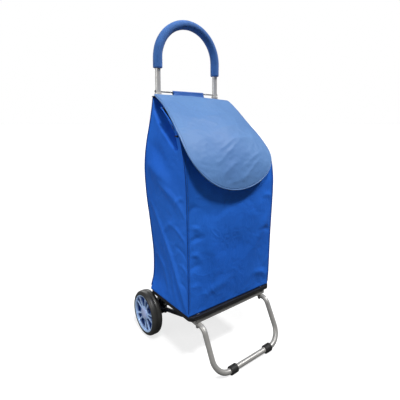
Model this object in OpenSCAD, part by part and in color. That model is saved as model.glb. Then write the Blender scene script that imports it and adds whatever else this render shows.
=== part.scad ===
// Folding shopping trolley: tube frame with a foam grip, fabric bag with a
// flap, fold-up base with a bent leg loop, and two wheels.
// Millimetres, +Z up, floor at z = 0. The origin is on the floor under the
// middle of the trolley; the bag's front faces -Y.

/* [Frame] */
// Distance between the two uprights, centre to centre
upright_spacing = 218; // [170:1:260]
// Height of the handle's centre line at its top
handle_h = 943; // [860:1:1100]
// Outside diameter of the frame tube
tube_d = 16; // [14:0.5:20]
// Wall of every steel tube
tube_wall = 1.2; // [1:0.1:2]
// Outside diameter of the foam grip
grip_d = 30; // [24:1:36]
// Straight length of the grip below each end of the bow
grip_drop = 34; // [15:1:70]
// Height of the crossbar that the bag hangs from
crossbar_h = 737; // [700:1:760]
// Diameter of the crossbar
crossbar_d = 5; // [4:0.5:7]

/* [Wheels] */
// Wheel diameter over the tyre
wheel_d = 132; // [120:1:150]
// Width of the tyre
tyre_w = 33; // [26:1:36]
// Height of the tyre above the rim
tyre_t = 11; // [8:0.5:16]
// Outside diameter of the wheel hub
hub_d = 42; // [36:1:50]
// Gap between an upright's centre line and the tyre beside it
wheel_clear = 30.5; // [28:0.5:45]
// Diameter of the axle
axle_d = 8; // [6:0.5:10]
// Number of double spokes
spoke_pairs = 5; // [4:1:7]

/* [Base] */
// Width of the platform
platform_w = 303; // [280:1:330]
// Depth of the platform
platform_d = 205; // [170:1:240]
// Gap between the top of the wheels and the platform's underside
platform_clear = 4; // [2:1:30]
// Thickness of the platform at its rim
platform_t = 10; // [9:0.5:12]
// Height of the rails under the platform
rail_h = 11; // [8:0.5:14]
// How far the base folds up, in degrees
fold_angle = 88; // [60:1:88]

/* [Leg] */
// Outside diameter of the leg tube
leg_d = 14; // [12:0.5:16]
// How far each of the leg's arms stands outside its upright
leg_offset = 11; // [4:0.5:13]
// How far the floor bar lies ahead of the platform's front edge
leg_out = 69; // [50:1:100]
// Diameter of the rubber feet
foot_d = 22; // [19:0.5:28]
// Length of each foot
foot_len = 22; // [15:1:40]
// Distance between the feet, centre to centre
foot_spacing = 131; // [90:1:150]

/* [Bag] */
// Width of the bag
bag_w = 300; // [260:1:306]
// Drop from the crossbar to the top of the bag's back
bag_drop = 13; // [8:1:40]
// How far the front panel swells ahead of its bottom edge
bag_swell = 14; // [4:1:24]
// Thickness of the fabric panels with their lining
fabric_t = 3; // [2:0.5:4]
// How far the flap stands out past each side of the bag
flap_over = 4; // [0:1:6]
// Length of the flap from its seam to its tip
flap_len = 361; // [330:1:370]
// Height of the flap's rounded end
flap_round = 127; // [90:1:140]
// Width of the loop on the crossbar
loop_w = 116; // [60:1:150]
// Diameter of the two stiffening rods at the bag's mouth
rod_d = 5; // [4:0.5:6]
// How far each rod's ends stand out past the bag
rod_out = 4; // [0:1:8]

/* [Hidden] */

$fn = 48;
eps = 0.01;
seat_gap = 0.3;      // between parts that only rest on each other
run_gap = 0.05;      // radial clearance of a running fit
sleeve_gap = 0.05;   // between a tube and the sleeve clamped on it

tube_r = tube_d / 2;
upright_x = upright_spacing / 2;
bow_z = handle_h - upright_x;
wheel_r = wheel_d / 2;
axle_z = wheel_r;
axle_r = axle_d / 2;

// platform and hinge, measured from the plane of the uprights
sleeve_t = 3;
sleeve_r = tube_r + sleeve_gap + sleeve_t;
platform_back = sleeve_r + 1;
platform_front = platform_back + platform_d;
platform_bottom = wheel_d + platform_clear;
platform_h = platform_bottom + platform_t;
platform_corner = 14;
hinge_y = -(platform_back + 13.5);
hinge_z = platform_h - platform_t / 2;
hinge_pin_r = 3;
ear_w = 10;
notch_gap = 1;
hinge_boss_w = 8;

// leg path
leg_r = leg_d / 2;
leg_x = upright_x + leg_offset;
foot_r = foot_d / 2;
rail_z = platform_bottom - rail_h;
arm_z = rail_z - leg_r - seat_gap;
arm_back = -(platform_back + 20);
bar_y = -(platform_front + leg_out);
bar_z = foot_r;
corner_r = 43;
leg_slope = 27;
upper_bend_r = 24;
butt_gap = 0.02;     // between the arms and the bow, which are butted end to end
slope_top_z = arm_z - upper_bend_r * (1 - sin(leg_slope));
slope_len = (slope_top_z - bar_z) / cos(leg_slope);
upper_centre = [bar_y + slope_len * sin(leg_slope) + upper_bend_r * cos(leg_slope),
    arm_z - upper_bend_r];

// the whole model is moved back so that its box is centred on the origin
axle_y = (foot_r - bar_y - wheel_r) / 2;

// wheels, along the axle from the middle of the trolley
rim_r = wheel_r - tyre_t;
hub_r = hub_d / 2;
wheel_in = upright_x + wheel_clear;
wheel_out = wheel_in + tyre_w;
boss_end = wheel_in - 6;
washer_t = 1.5;
hub_in = boss_end + washer_t + 2 * seat_gap;
hub_out = wheel_out - 4;
recess_depth = 9;
recess_r = 11;
bush_r = axle_r + 4;
nut_t = 3.5;
axle_end = hub_out - recess_depth + seat_gap + nut_t + 1;

// bracket, support arm and rest pad
bracket_top = axle_z + 30;
bracket_bottom = axle_z - 16;
tube_bottom = axle_z - 12;
boss_r = 10;
lug_w = 8;
lug_front = -30;
arm_t = 4;
arm_h = 12;
arm_x = upright_x + lug_w / 2;
pad_y = -(platform_back + 116);
pad_len = 16;
pad_t = 2;
tab_t = 3;
rivet_r = 2.5;
pad_top = arm_z - leg_r - seat_gap;
arm_rear = [-20, axle_z + 7];
arm_front = [pad_y, pad_top - pad_t - tab_t - 3];

// rails under the platform and the bolts through both
rail_d = 20;
rail_t = 1.5;
rail_half = leg_x + 10;
rail_y_front = -(platform_front - 2 - rail_d / 2);
rail_y_rear = -(platform_back + 36);
bolt_r = 2.5;
bolt_head_r = 5;
bolt_head_t = 2;

// bag
bag_back_y = -(sleeve_r + 3);
back_in_y = bag_back_y - fabric_t;
bag_z = platform_h + seat_gap;
bag_top_z = crossbar_h - bag_drop;
bag_x = bag_w / 2;
flap_w = bag_w + 2 * flap_over;
front_foot_y = -(platform_front - 8);
flap_start = [bag_back_y - fabric_t / 2, bag_top_z + 2.5];
flap_t = 3;
flap_steps = 16;
under_flap = 7;       // front panel's middle below the flap's middle
side_under_flap = 10.5;
mouth_step = 8;       // step of the flap curve above the bag's mouth
front_join_step = 13; // step where the front panel leaves the flap's curve

// slope of the flap below the horizontal, from its seam (0) to its tip (1)
function flap_slope(u) = 24 + 22 * u + 42 * u * u;
function flap_point(i) = i == 0 ? flap_start
    : flap_point(i - 1) + flap_len / flap_steps
        * [-cos(flap_slope((i - 0.5) / flap_steps)), -sin(flap_slope((i - 0.5) / flap_steps))];
// a point of the flap's curve moved square to the curve, inwards if depth > 0
function flap_offset(i, depth) = flap_point(i) + depth
    * [sin(flap_slope(i / flap_steps)), -cos(flap_slope(i / flap_steps))];

// the front panel's outline from the mouth down to the platform
front_top_z = flap_offset(front_join_step, under_flap)[1];
front_drop = front_top_z - bag_z;
front_upper_y = flap_offset(front_join_step, under_flap)[0];
function front_low_y(u) = front_upper_y * (1 - u) + front_foot_y * u
    - bag_swell * sin(180 * u);
function front_line(depth) = concat(
    [for (i = [mouth_step:front_join_step]) flap_offset(i, under_flap + depth)],
    [for (u = [0.2:0.2:1]) [front_low_y(u) + depth, front_top_z - u * front_drop]]);

function reversed(list) = [for (i = [len(list) - 1:-1:0]) list[i]];
function sign_of(side) = side == "left" ? -1 : 1;

module placed() {
    translate([0, axle_y, 0]) children();
}

// a flat shape drawn in Y and Z, extruded along X from x0 over the width w
module slab_x(x0, w) {
    translate([x0, 0, 0]) rotate([90, 0, 90]) linear_extrude(w) children();
}

module rod_x(r, x0, w) {
    translate([x0, 0, 0]) rotate([0, 90, 0]) cylinder(r = r, h = w);
}

module ring_2d(r, wall) {
    difference() {
        circle(r = r);
        circle(r = r - wall);
    }
}

module pipe(r, h, wall = tube_wall) {
    linear_extrude(h) ring_2d(r, wall);
}

// a bent stretch of tube in the XZ plane
module bend_xz(bend_r, from, turn, r, wall = tube_wall) {
    rotate([90, 0, 0]) rotate([0, 0, from])
        rotate_extrude(angle = turn) translate([bend_r, 0]) ring_2d(r, wall);
}

// a bent stretch of tube in the YZ plane
module bend_yz(bend_r, from, turn, r, wall = tube_wall) {
    rotate([90, 0, 90]) rotate([0, 0, from])
        rotate_extrude(angle = turn) translate([bend_r, 0]) ring_2d(r, wall);
}

// ---- frame ----

module upright(side) {
    x = sign_of(side) * upright_x;
    difference() {
        translate([x, 0, tube_bottom]) pipe(tube_r, bow_z - tube_bottom);
        translate([0, 0, axle_z]) rod_x(axle_r + run_gap, x - tube_d, 2 * tube_d);
        translate([0, 0, crossbar_h]) rod_x(crossbar_d / 2 + run_gap, x - tube_d, 2 * tube_d);
    }
}

module frame_tube() {
    color("silver") placed() {
        upright("left");
        upright("right");
        translate([0, 0, bow_z]) bend_xz(upright_x, 0, 180, tube_r);
    }
}

module handle_grip() {
    grip_wall = grip_d / 2 - tube_r - run_gap;
    color("royalblue") placed() {
        for (side = ["left", "right"])
            translate([sign_of(side) * upright_x, 0, bow_z - grip_drop])
                pipe(grip_d / 2, grip_drop, grip_wall);
        translate([0, 0, bow_z]) bend_xz(upright_x, 0, 180, grip_d / 2, grip_wall);
    }
}

module crossbar() {
    head_t = 1.5;
    half = upright_x + tube_r + seat_gap;
    color("gray") placed() translate([0, 0, crossbar_h]) {
        rod_x(crossbar_d / 2, -half, 2 * half);
        for (x = [-half - head_t, half])
            rod_x(crossbar_d / 2 + 1.5, x, head_t);
    }
}

module collar(side) {
    collar_h = 10;
    color("black") placed()
        translate([sign_of(side) * upright_x, 0, crossbar_h - crossbar_d / 2 - 2 - collar_h])
            pipe(tube_r + 2.5, collar_h, 2.5 - sleeve_gap);
}

// ---- axle group ----

module axle() {
    color("silver") placed() translate([0, 0, axle_z])
        rod_x(axle_r, -axle_end, 2 * axle_end);
}

module axle_bracket(side) {
    s = sign_of(side);
    lug_drop = 6;
    lug_h = 26;
    color("black") placed() difference() {
        union() {
            translate([s * upright_x, 0, bracket_bottom])
                cylinder(r = sleeve_r + 1, h = bracket_top - bracket_bottom);
            translate([0, 0, axle_z])
                rod_x(boss_r, s > 0 ? upright_x : -boss_end, boss_end - upright_x);
            translate([s * upright_x - lug_w / 2, lug_front, axle_z - lug_drop])
                cube([lug_w, -lug_front, lug_h]);
        }
        translate([s * upright_x, 0, tube_bottom - seat_gap])
            cylinder(r = tube_r + sleeve_gap, h = bracket_top);
        translate([0, 0, axle_z])
            rod_x(axle_r + run_gap, s > 0 ? 0 : -boss_end - 1, boss_end + 1);
    }
}

// flat bar from the bracket's lug up to a tab under the leg's arm
module support_arm(side) {
    s = sign_of(side);
    run = arm_front - arm_rear;
    tab_w = leg_x + leg_r - arm_x;
    color("dimgray") placed() scale([s, 1, 1]) difference() {
        union() {
            translate([arm_x, arm_rear[0], arm_rear[1]])
                rotate([-atan2(run[1], -run[0]), 0, 0]) {
                    translate([0, -norm(run), -arm_h / 2]) cube([arm_t, norm(run), arm_h]);
                    rod_x(arm_h / 2, 0, arm_t);
                }
            translate([arm_x, pad_y - pad_len / 2, pad_top - pad_t - tab_t])
                cube([tab_w, pad_len, tab_t]);
        }
        rivet_places() rod_x(rivet_r + run_gap, arm_x - 1, arm_t + 2);
    }
}

// along the flat bar's own slope
module rivet_places() {
    rise = (arm_front[1] - arm_rear[1]) / (arm_front[0] - arm_rear[0]);
    for (back = [-4, 5])
        translate([0, arm_rear[0] - back, arm_rear[1] - back * rise]) children();
}

module arm_rivets() {
    head_r = 4.5;
    head_t = 1.5;
    color("silver") placed() for (s = [-1, 1]) scale([s, 1, 1]) rivet_places() {
        rod_x(rivet_r, arm_x + eps, arm_t - eps);
        rod_x(head_r, arm_x + arm_t, head_t);
    }
}

module rest_pad(side) {
    s = sign_of(side);
    pad_w = leg_x + leg_r - arm_x;
    color("black") placed() scale([s, 1, 1])
        translate([arm_x, pad_y - pad_len / 2, pad_top - pad_t])
            cube([pad_w, pad_len, pad_t]);
}

module hinge_bracket(side) {
    s = sign_of(side);
    sleeve_low = hinge_z - 14;
    sleeve_h = 26;
    eye_r = platform_t / 2;
    color("black") placed() difference() {
        union() {
            translate([s * upright_x, 0, sleeve_low]) cylinder(r = sleeve_r, h = sleeve_h);
            translate([s * upright_x - ear_w / 2, hinge_y, hinge_z - eye_r])
                cube([ear_w, -hinge_y, 2 * eye_r]);
            translate([0, hinge_y, hinge_z]) rod_x(eye_r, s * upright_x - ear_w / 2, ear_w);
        }
        translate([s * upright_x, 0, sleeve_low - 1])
            cylinder(r = tube_r + sleeve_gap, h = sleeve_h + 2);
        translate([0, hinge_y, hinge_z])
            rod_x(hinge_pin_r + run_gap, s * upright_x - ear_w, 2 * ear_w);
    }
}

module hinge_pins() {
    half = ear_w / 2 + notch_gap + hinge_boss_w - 1;
    color("silver") placed() for (s = [-1, 1])
        translate([0, hinge_y, hinge_z]) rod_x(hinge_pin_r, s * upright_x - half, 2 * half);
}

module axle_washers() {
    color("silver") placed() for (s = [-1, 1]) scale([s, 1, 1])
        translate([0, 0, axle_z]) difference() {
            rod_x(boss_r - 1, boss_end + seat_gap, washer_t);
            rod_x(axle_r + run_gap, boss_end, washer_t + 1);
        }
}

module push_nuts() {
    color("silver") placed() for (s = [-1, 1]) scale([s, 1, 1])
        translate([0, 0, axle_z]) difference() {
            rod_x(recess_r - 2, hub_out - recess_depth + seat_gap, nut_t);
            rod_x(axle_r + run_gap, hub_out - recess_depth, nut_t + 1);
        }
}

// ---- wheels ----

// turns a profile of [radius, distance from the trolley's middle] round the axle
module turned(side) {
    placed() translate([0, 0, axle_z])
        rotate([0, sign_of(side) * 90, 0]) rotate_extrude() children();
}

module wheel_rim(side) {
    s = sign_of(side);
    barrel_t = 4;
    web_t = 3;
    web_x = wheel_out - tyre_w / 2 - web_t / 2;
    first_slot = 108;
    spoke_turn = 10;
    spoke_w = 6.5;
    spoke_front = wheel_out - 5;
    color("cornflowerblue") {
        turned(side) union() {
            translate([rim_r - barrel_t, wheel_in + 1]) square([barrel_t, tyre_w - 2]);
            translate([bush_r, web_x]) square([rim_r - bush_r - eps, web_t]);
            difference() {
                translate([bush_r, hub_in]) square([hub_r - bush_r, hub_out - hub_in]);
                translate([0, hub_out - recess_depth])
                    square([recess_r, recess_depth + 1]);
            }
        }
        placed() translate([0, 0, axle_z]) scale([s, 1, 1])
            for (k = [0:spoke_pairs - 1], turn = [-spoke_turn, spoke_turn])
                rotate([first_slot + k * 360 / spoke_pairs + turn, 0, 0])
                    translate([web_x + web_t - eps, hub_r - 1.5, -spoke_w / 2])
                        cube([spoke_front - web_x - web_t, rim_r - barrel_t - hub_r + 3, spoke_w]);
    }
}

module wheel_bush(side) {
    color("white") turned(side)
        translate([axle_r + run_gap, hub_in])
            square([bush_r - axle_r - run_gap, hub_out - recess_depth - hub_in]);
}

module tyre(side) {
    shoulder = 9;
    color("dimgray") turned(side) difference() {
        translate([rim_r + run_gap, wheel_in]) square([tyre_t - run_gap, tyre_w]);
        for (edge = [[wheel_in, 1], [wheel_out, -1]])
            translate([wheel_r, edge[0]]) difference() {
                translate([-shoulder, edge[1] > 0 ? -1 : -shoulder])
                    square([shoulder + 1, shoulder + 1]);
                translate([-shoulder, edge[1] * shoulder]) circle(r = shoulder);
            }
    }
}

module hub_cap(side) {
    disc_t = 3;
    color("lightsteelblue") turned(side) union() {
        translate([0, hub_out + seat_gap]) square([recess_r + 5, disc_t]);
        translate([recess_r - 3, hub_out - 2]) square([2.9, 2 + seat_gap]);
    }
}

// ---- base ----

module platform_outline(inset = 0) {
    w = platform_w - 2 * inset;
    d = platform_d - 2 * inset;
    r = platform_corner - inset;
    y0 = -(platform_front - inset);
    union() {
        translate([-w / 2 + r, y0]) square([w - 2 * r, d]);
        translate([-w / 2, y0 + r]) square([w, d - 2 * r]);
        for (x = [-w / 2 + r, w / 2 - r], y = [y0 + r, y0 + d - r])
            translate([x, y]) circle(r = r);
    }
}

module bolt_places() {
    for (s = [-1, 1], y = [rail_y_front, rail_y_rear])
        translate([s * leg_x, y, 0]) children();
}

module platform() {
    skirt_t = 3;
    plate_t = 3.5;
    rib_t = 2.4;
    rib_pitch = 45;
    web_h = platform_t - 1;
    bolt_boss_r = 7;
    boss_wall = 4;
    notch_w = ear_w + 2 * notch_gap;
    notch_front = hinge_y - platform_t / 2 - 1.5;
    color([0.08, 0.08, 0.09]) placed() difference() {
        union() {
            translate([0, 0, platform_h - plate_t]) linear_extrude(plate_t) platform_outline();
            translate([0, 0, platform_bottom]) linear_extrude(web_h) difference() {
                platform_outline();
                platform_outline(skirt_t);
            }
            for (k = [-2:2])
                translate([k * rib_pitch - rib_t / 2, -platform_front + 1, platform_bottom])
                    cube([rib_t, platform_d - 2, web_h]);
            for (s = [-1, 1])
                translate([s * upright_x - notch_w / 2 - hinge_boss_w,
                    notch_front - boss_wall, platform_bottom])
                    cube([notch_w + 2 * hinge_boss_w,
                        -platform_back - notch_front + boss_wall - 1, web_h]);
            bolt_places() translate([0, 0, platform_bottom])
                cylinder(r = bolt_boss_r, h = web_h);
        }
        for (s = [-1, 1]) {
            translate([s * upright_x - notch_w / 2, notch_front, platform_bottom - 1])
                cube([notch_w, -notch_front, platform_t + 2]);
            translate([0, hinge_y, hinge_z])
                rod_x(hinge_pin_r + run_gap, s * upright_x - 2 * ear_w, 4 * ear_w);
        }
        bolt_places() {
            translate([0, 0, platform_bottom - 1]) cylinder(r = bolt_r + run_gap, h = platform_t + 2);
            translate([0, 0, platform_h - bolt_head_t - seat_gap])
                cylinder(r = bolt_head_r + 0.5, h = bolt_head_t + 1);
        }
    }
}

// steel channel, open below, across the leg's arms
module rail(y) {
    color("gray") placed() difference() {
        translate([-rail_half, y - rail_d / 2, rail_z])
            cube([2 * rail_half, rail_d, rail_h - seat_gap / 2]);
        translate([-rail_half - 1, y - rail_d / 2 + rail_t, rail_z - 1])
            cube([2 * rail_half + 2, rail_d - 2 * rail_t, rail_h - rail_t - seat_gap / 2 + 1]);
        bolt_places() cylinder(r = bolt_r + run_gap, h = platform_h);
    }
}

module front_rail() {
    rail(rail_y_front);
}

module rear_rail() {
    rail(rail_y_rear);
}

// straight arm under the rails and its bend down
module leg_arm(s) {
    translate([s * leg_x, upper_centre[0], arm_z])
        rotate([-90, 0, 0]) pipe(leg_r, arm_back - upper_centre[0]);
    translate([s * leg_x, upper_centre[0], upper_centre[1]])
        bend_yz(upper_bend_r, 90, 90 - leg_slope, leg_r);
}

// flat U of tube: two straight legs, two corners and the floor bar
module leg_bow() {
    bar_half = leg_x - corner_r;
    translate([0, bar_y, bar_z]) rotate([-leg_slope, 0, 0]) {
        translate([-bar_half, 0, 0]) rotate([0, 90, 0]) pipe(leg_r, 2 * bar_half);
        for (s = [-1, 1]) {
            translate([s * bar_half, 0, corner_r])
                bend_xz(corner_r, s > 0 ? 270 : 180, 90, leg_r);
            translate([s * leg_x, 0, corner_r]) pipe(leg_r, slope_len - corner_r - butt_gap);
        }
    }
}

module leg_loop() {
    color("silver") placed() {
        difference() {
            union() {
                leg_arm(-1);
                leg_arm(1);
            }
            bolt_places() translate([0, 0, arm_z - leg_d])
                cylinder(r = bolt_r + run_gap, h = 2 * leg_d);
        }
        leg_bow();
    }
}

module foot(side) {
    x = sign_of(side) * foot_spacing / 2;
    rib_w = 2;
    groove = 1;
    flat_w = 9;
    ribs = floor(foot_len / (2 * rib_w));
    pitch = (foot_len - rib_w) / ribs;
    color("black") placed() translate([x - foot_len / 2, bar_y, bar_z]) difference() {
        union() {
            rod_x(foot_r - groove, 0, foot_len);
            for (k = [0:ribs]) rod_x(foot_r, k * pitch, rib_w);
            translate([0, -flat_w / 2, -foot_r]) cube([foot_len, flat_w, foot_r / 2]);
        }
        rod_x(leg_r + sleeve_gap, -1, foot_len + 2);
    }
}

module tube_plugs() {
    plug_t = 3;
    color("black") placed() for (s = [-1, 1])
        translate([s * leg_x, arm_back, arm_z]) rotate([-90, 0, 0]) {
            translate([0, 0, -8]) cylinder(r = leg_r - tube_wall - run_gap, h = 8 + eps);
            translate([0, 0, eps]) cylinder(r = leg_r, h = plug_t);
        }
}

module base_bolts() {
    low = arm_z - leg_r - 6;
    color("silver") placed() bolt_places() {
        translate([0, 0, low]) cylinder(r = bolt_r, h = platform_h - seat_gap - low - 1);
        translate([0, 0, platform_h - seat_gap - bolt_head_t])
            cylinder(r = bolt_head_r, h = bolt_head_t - 0.2);
    }
}

module base_nuts() {
    nut_h = 4;
    color("silver") placed() bolt_places()
        translate([0, 0, arm_z - leg_r - seat_gap - nut_h]) difference() {
            cylinder(r = 4.6, h = nut_h, $fn = 6);
            translate([0, 0, -1]) cylinder(r = bolt_r + run_gap, h = nut_h + 2);
        }
}

// ---- bag ----

module bag_front() {
    color("royalblue") placed() slab_x(-bag_x, bag_w)
        polygon(concat(front_line(-fabric_t / 2), reversed(front_line(fabric_t / 2))));
}

module bag_back() {
    color("royalblue") placed()
        translate([-bag_x, back_in_y, bag_z]) cube([bag_w, fabric_t, bag_top_z - bag_z]);
}

module bag_side(side) {
    x = side == "left" ? -bag_x : bag_x - fabric_t;
    floor_z = bag_z + fabric_t;
    inner = front_line(fabric_t / 2);
    upper = [for (p = inner) if (p[1] > floor_z
        && p[1] < flap_offset(mouth_step, side_under_flap)[1] - 2) p];
    top_edge = [for (i = [1:mouth_step]) flap_offset(i, side_under_flap)];
    low_front = inner[len(inner) - 1][0];
    color("mediumblue") placed() slab_x(x, fabric_t)
        polygon(concat([[back_in_y, floor_z], [back_in_y, bag_top_z - 10]],
            top_edge, upper, [[low_front, floor_z]]));
}

module bag_bottom() {
    inner = front_line(fabric_t / 2);
    low_front = inner[len(inner) - 1][0];
    color("mediumblue") placed()
        translate([-bag_x, low_front, bag_z]) cube([bag_w, back_in_y - low_front, fabric_t]);
}

module bottom_board() {
    edge = 3;
    inner = front_line(fabric_t / 2);
    low_front = inner[len(inner) - 1][0];
    color("darkslategray") placed()
        translate([-bag_x + fabric_t + edge, low_front + edge, bag_z + fabric_t + seat_gap])
            cube([bag_w - 2 * fabric_t - 2 * edge, back_in_y - low_front - 2 * edge, 3]);
}

// lies along the front panel's upper edge, and its ends stand out at the sides
module mouth_rod() {
    along = flap_slope(mouth_step / flap_steps);
    centre = flap_offset(mouth_step, under_flap)
        + (rod_d / 2 + seat_gap) * [cos(along), sin(along)];
    color("black") placed() translate([0, centre[0], centre[1]])
        stiffening_rod();
}

module stiffening_rod() {
    rod_x(rod_d / 2, -bag_x - rod_out, bag_w + 2 * rod_out);
}

// lies along the top of the back panel, above the side panels
module back_rod() {
    below_top = 6.5;
    color("black") placed()
        translate([0, back_in_y - rod_d / 2 - seat_gap, bag_top_z - below_top])
            stiffening_rod();
}

module hanging_loop() {
    cloth = 1.5;
    inner_r = crossbar_d / 2 + seat_gap;
    outer_r = inner_r + cloth;
    face = bag_back_y + seat_gap;
    hem = 12;
    color("royalblue") placed() slab_x(-loop_w / 2, loop_w) difference() {
        union() {
            translate([0, crossbar_h]) circle(r = outer_r);
            polygon([[face, bag_top_z - hem], [face, bag_top_z - 1],
                [-inner_r - 1.1, crossbar_h + 0.5], [-inner_r, crossbar_h - 1.5],
                [face + cloth, bag_top_z - 1.5], [face + cloth, bag_top_z - hem]]);
        }
        translate([0, crossbar_h]) circle(r = inner_r);
    }
}

// curved sheet over the mouth, with a rounded end in front
module flap() {
    middle_z = flap_point(flap_steps)[1] + flap_round;
    band = concat([for (i = [0:flap_steps]) flap_offset(i, -flap_t / 2)],
        reversed([for (i = [0:flap_steps]) flap_offset(i, flap_t / 2)]));
    outline = concat([[-flap_w / 2, bag_top_z + 20]],
        [for (a = [180:9:360]) [flap_w / 2 * cos(a), middle_z + (flap_round + flap_t) * sin(a)]],
        [[flap_w / 2, bag_top_z + 20]]);
    color("cornflowerblue") placed() intersection() {
        slab_x(-flap_w / 2 - 1, flap_w + 2) polygon(band);
        rotate([90, 0, 0]) linear_extrude(-bar_y) polygon(outline);
    }
}

frame_tube();
handle_grip();
crossbar();
collar("left");  // collar_left
collar("right");  // collar_right
axle();
axle_bracket("left");  // axle_bracket_left
axle_bracket("right");  // axle_bracket_right
support_arm("left");  // support_arm_left
support_arm("right");  // support_arm_right
arm_rivets();
rest_pad("left");  // rest_pad_left
rest_pad("right");  // rest_pad_right
hinge_bracket("left");  // hinge_bracket_left
hinge_bracket("right");  // hinge_bracket_right
hinge_pins();
axle_washers();
push_nuts();
wheel_rim("left");  // wheel_rim_left
wheel_rim("right");  // wheel_rim_right
wheel_bush("left");  // wheel_bush_left
wheel_bush("right");  // wheel_bush_right
tyre("left");  // tyre_left
tyre("right");  // tyre_right
hub_cap("left");  // hub_cap_left
hub_cap("right");  // hub_cap_right
platform();
front_rail();
rear_rail();
leg_loop();
foot("left");  // foot_left
foot("right");  // foot_right
tube_plugs();
base_bolts();
base_nuts();
bag_front();
bag_back();
bag_side("left");  // bag_side_left
bag_side("right");  // bag_side_right
bag_bottom();
bottom_board();
mouth_rod();
back_rod();
hanging_loop();
flap();
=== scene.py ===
import math

import bmesh
import bpy
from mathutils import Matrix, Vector, noise


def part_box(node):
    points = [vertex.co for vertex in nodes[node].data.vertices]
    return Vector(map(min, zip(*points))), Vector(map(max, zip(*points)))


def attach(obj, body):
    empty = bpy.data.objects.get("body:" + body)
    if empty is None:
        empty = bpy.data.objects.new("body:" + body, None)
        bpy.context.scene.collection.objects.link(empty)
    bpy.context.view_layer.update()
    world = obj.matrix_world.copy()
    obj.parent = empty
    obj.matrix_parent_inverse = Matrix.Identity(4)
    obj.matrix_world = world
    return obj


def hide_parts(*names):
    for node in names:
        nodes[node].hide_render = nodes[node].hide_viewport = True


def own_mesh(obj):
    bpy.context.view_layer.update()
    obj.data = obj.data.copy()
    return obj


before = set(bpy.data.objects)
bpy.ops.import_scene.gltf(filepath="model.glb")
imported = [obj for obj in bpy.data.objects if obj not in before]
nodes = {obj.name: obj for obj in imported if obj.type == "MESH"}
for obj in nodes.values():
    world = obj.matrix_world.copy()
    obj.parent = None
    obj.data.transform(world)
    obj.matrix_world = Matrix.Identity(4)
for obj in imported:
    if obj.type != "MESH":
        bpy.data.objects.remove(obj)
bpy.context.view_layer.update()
print("frame loaded with", len(nodes), "parts")

mm = 0.001
axleLow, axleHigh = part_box("axle")
axleY = (axleLow.y + axleHigh.y) / 2
axleZ = (axleLow.z + axleHigh.z) / 2


# ---- small maths ----

def mix(a, b, t):
    return a + (b - a) * t


def clamp(value, low=0.0, high=1.0):
    return max(low, min(high, value))


def ease(value, low=0.0, high=1.0):
    t = clamp((value - low) / (high - low))
    return t * t * (3 - 2 * t)


def hump(value, start, peak, end):
    if value < peak:
        return ease(value, start, peak)
    return 1 - ease(value, peak, end)


# value of a curve through listed stations, smoothed between them
def stationValue(stations, at):
    if at <= stations[0][0]:
        return stations[0][1]
    for i in range(len(stations) - 1):
        (a, va), (b, vb) = stations[i], stations[i + 1]
        if at <= b:
            before = stations[i - 1] if i else (a - (b - a), va)
            after = stations[i + 2] if i + 2 < len(stations) else (b + (b - a), vb)
            slopeA = (vb - before[1]) / (b - before[0])
            slopeB = (after[1] - va) / (after[0] - a)
            t, span = (at - a) / (b - a), b - a
            return ((2 * t**3 - 3 * t**2 + 1) * va + (t**3 - 2 * t**2 + t) * span * slopeA
                    + (3 * t**2 - 2 * t**3) * vb + (t**3 - t**2) * span * slopeB)
    return stations[-1][1]


# ---- mesh helpers ----

def addObject(name, mesh, material=None, smooth=True):
    piece = bpy.data.objects.new(name, mesh)
    bpy.context.scene.collection.objects.link(piece)
    if material:
        mesh.materials.append(material)
    if smooth:
        mesh.polygons.foreach_set("use_smooth", [True] * len(mesh.polygons))
    return piece


# running length along a list of points
def runningLengths(points):
    lengths = [0.0]
    for a, b in zip(points, points[1:]):
        lengths.append(lengths[-1] + (b - a).length)
    return lengths


# mesh out of a bmesh, which is freed
def meshFrom(made, name):
    mesh = bpy.data.meshes.new(name)
    made.to_mesh(mesh)
    made.free()
    return mesh


# grid of points, rows of equal length, with a UV map in metres
def gridMesh(name, rows, closed=False, flip=False):
    count, width = len(rows), len(rows[0])
    middle = rows[count // 2]
    alongU = runningLengths(middle + middle[:1])
    alongV = runningLengths([row[0] for row in rows])
    faces, uvs = [], []
    for j in range(count - 1):
        for i in range(width if closed else width - 1):
            k = (i + 1) % width
            face = [j * width + i, j * width + k, (j + 1) * width + k, (j + 1) * width + i]
            corner = [(alongU[i], alongV[j]), (alongU[i + 1], alongV[j]),
                      (alongU[i + 1], alongV[j + 1]), (alongU[i], alongV[j + 1])]
            if flip:
                face.reverse()
                corner.reverse()
            faces.append(face)
            uvs.extend(corner)
    mesh = bpy.data.meshes.new(name)
    mesh.from_pydata([p for row in rows for p in row], [], faces)
    layer = mesh.uv_layers.new(name="cloth")
    for loop, uv in zip(layer.data, uvs):
        loop.uv = uv
    return mesh


# closed outline of (radius, x) with its corners rounded
def roundedOutline(points, radius, steps=3):
    result = []
    count = len(points)
    for i in range(count):
        here = Vector(points[i])
        before, after = Vector(points[i - 1]), Vector(points[(i + 1) % count])
        if here.x < 1e-6:
            result.append(here)
            continue
        reach = min(radius, (before - here).length * 0.45, (after - here).length * 0.45)
        a = here + (before - here).normalized() * reach
        b = here + (after - here).normalized() * reach
        for k in range(steps + 1):
            t = k / steps
            result.append(a * (1 - t) ** 2 + here * 2 * t * (1 - t) + b * t**2)
    return result


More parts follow.
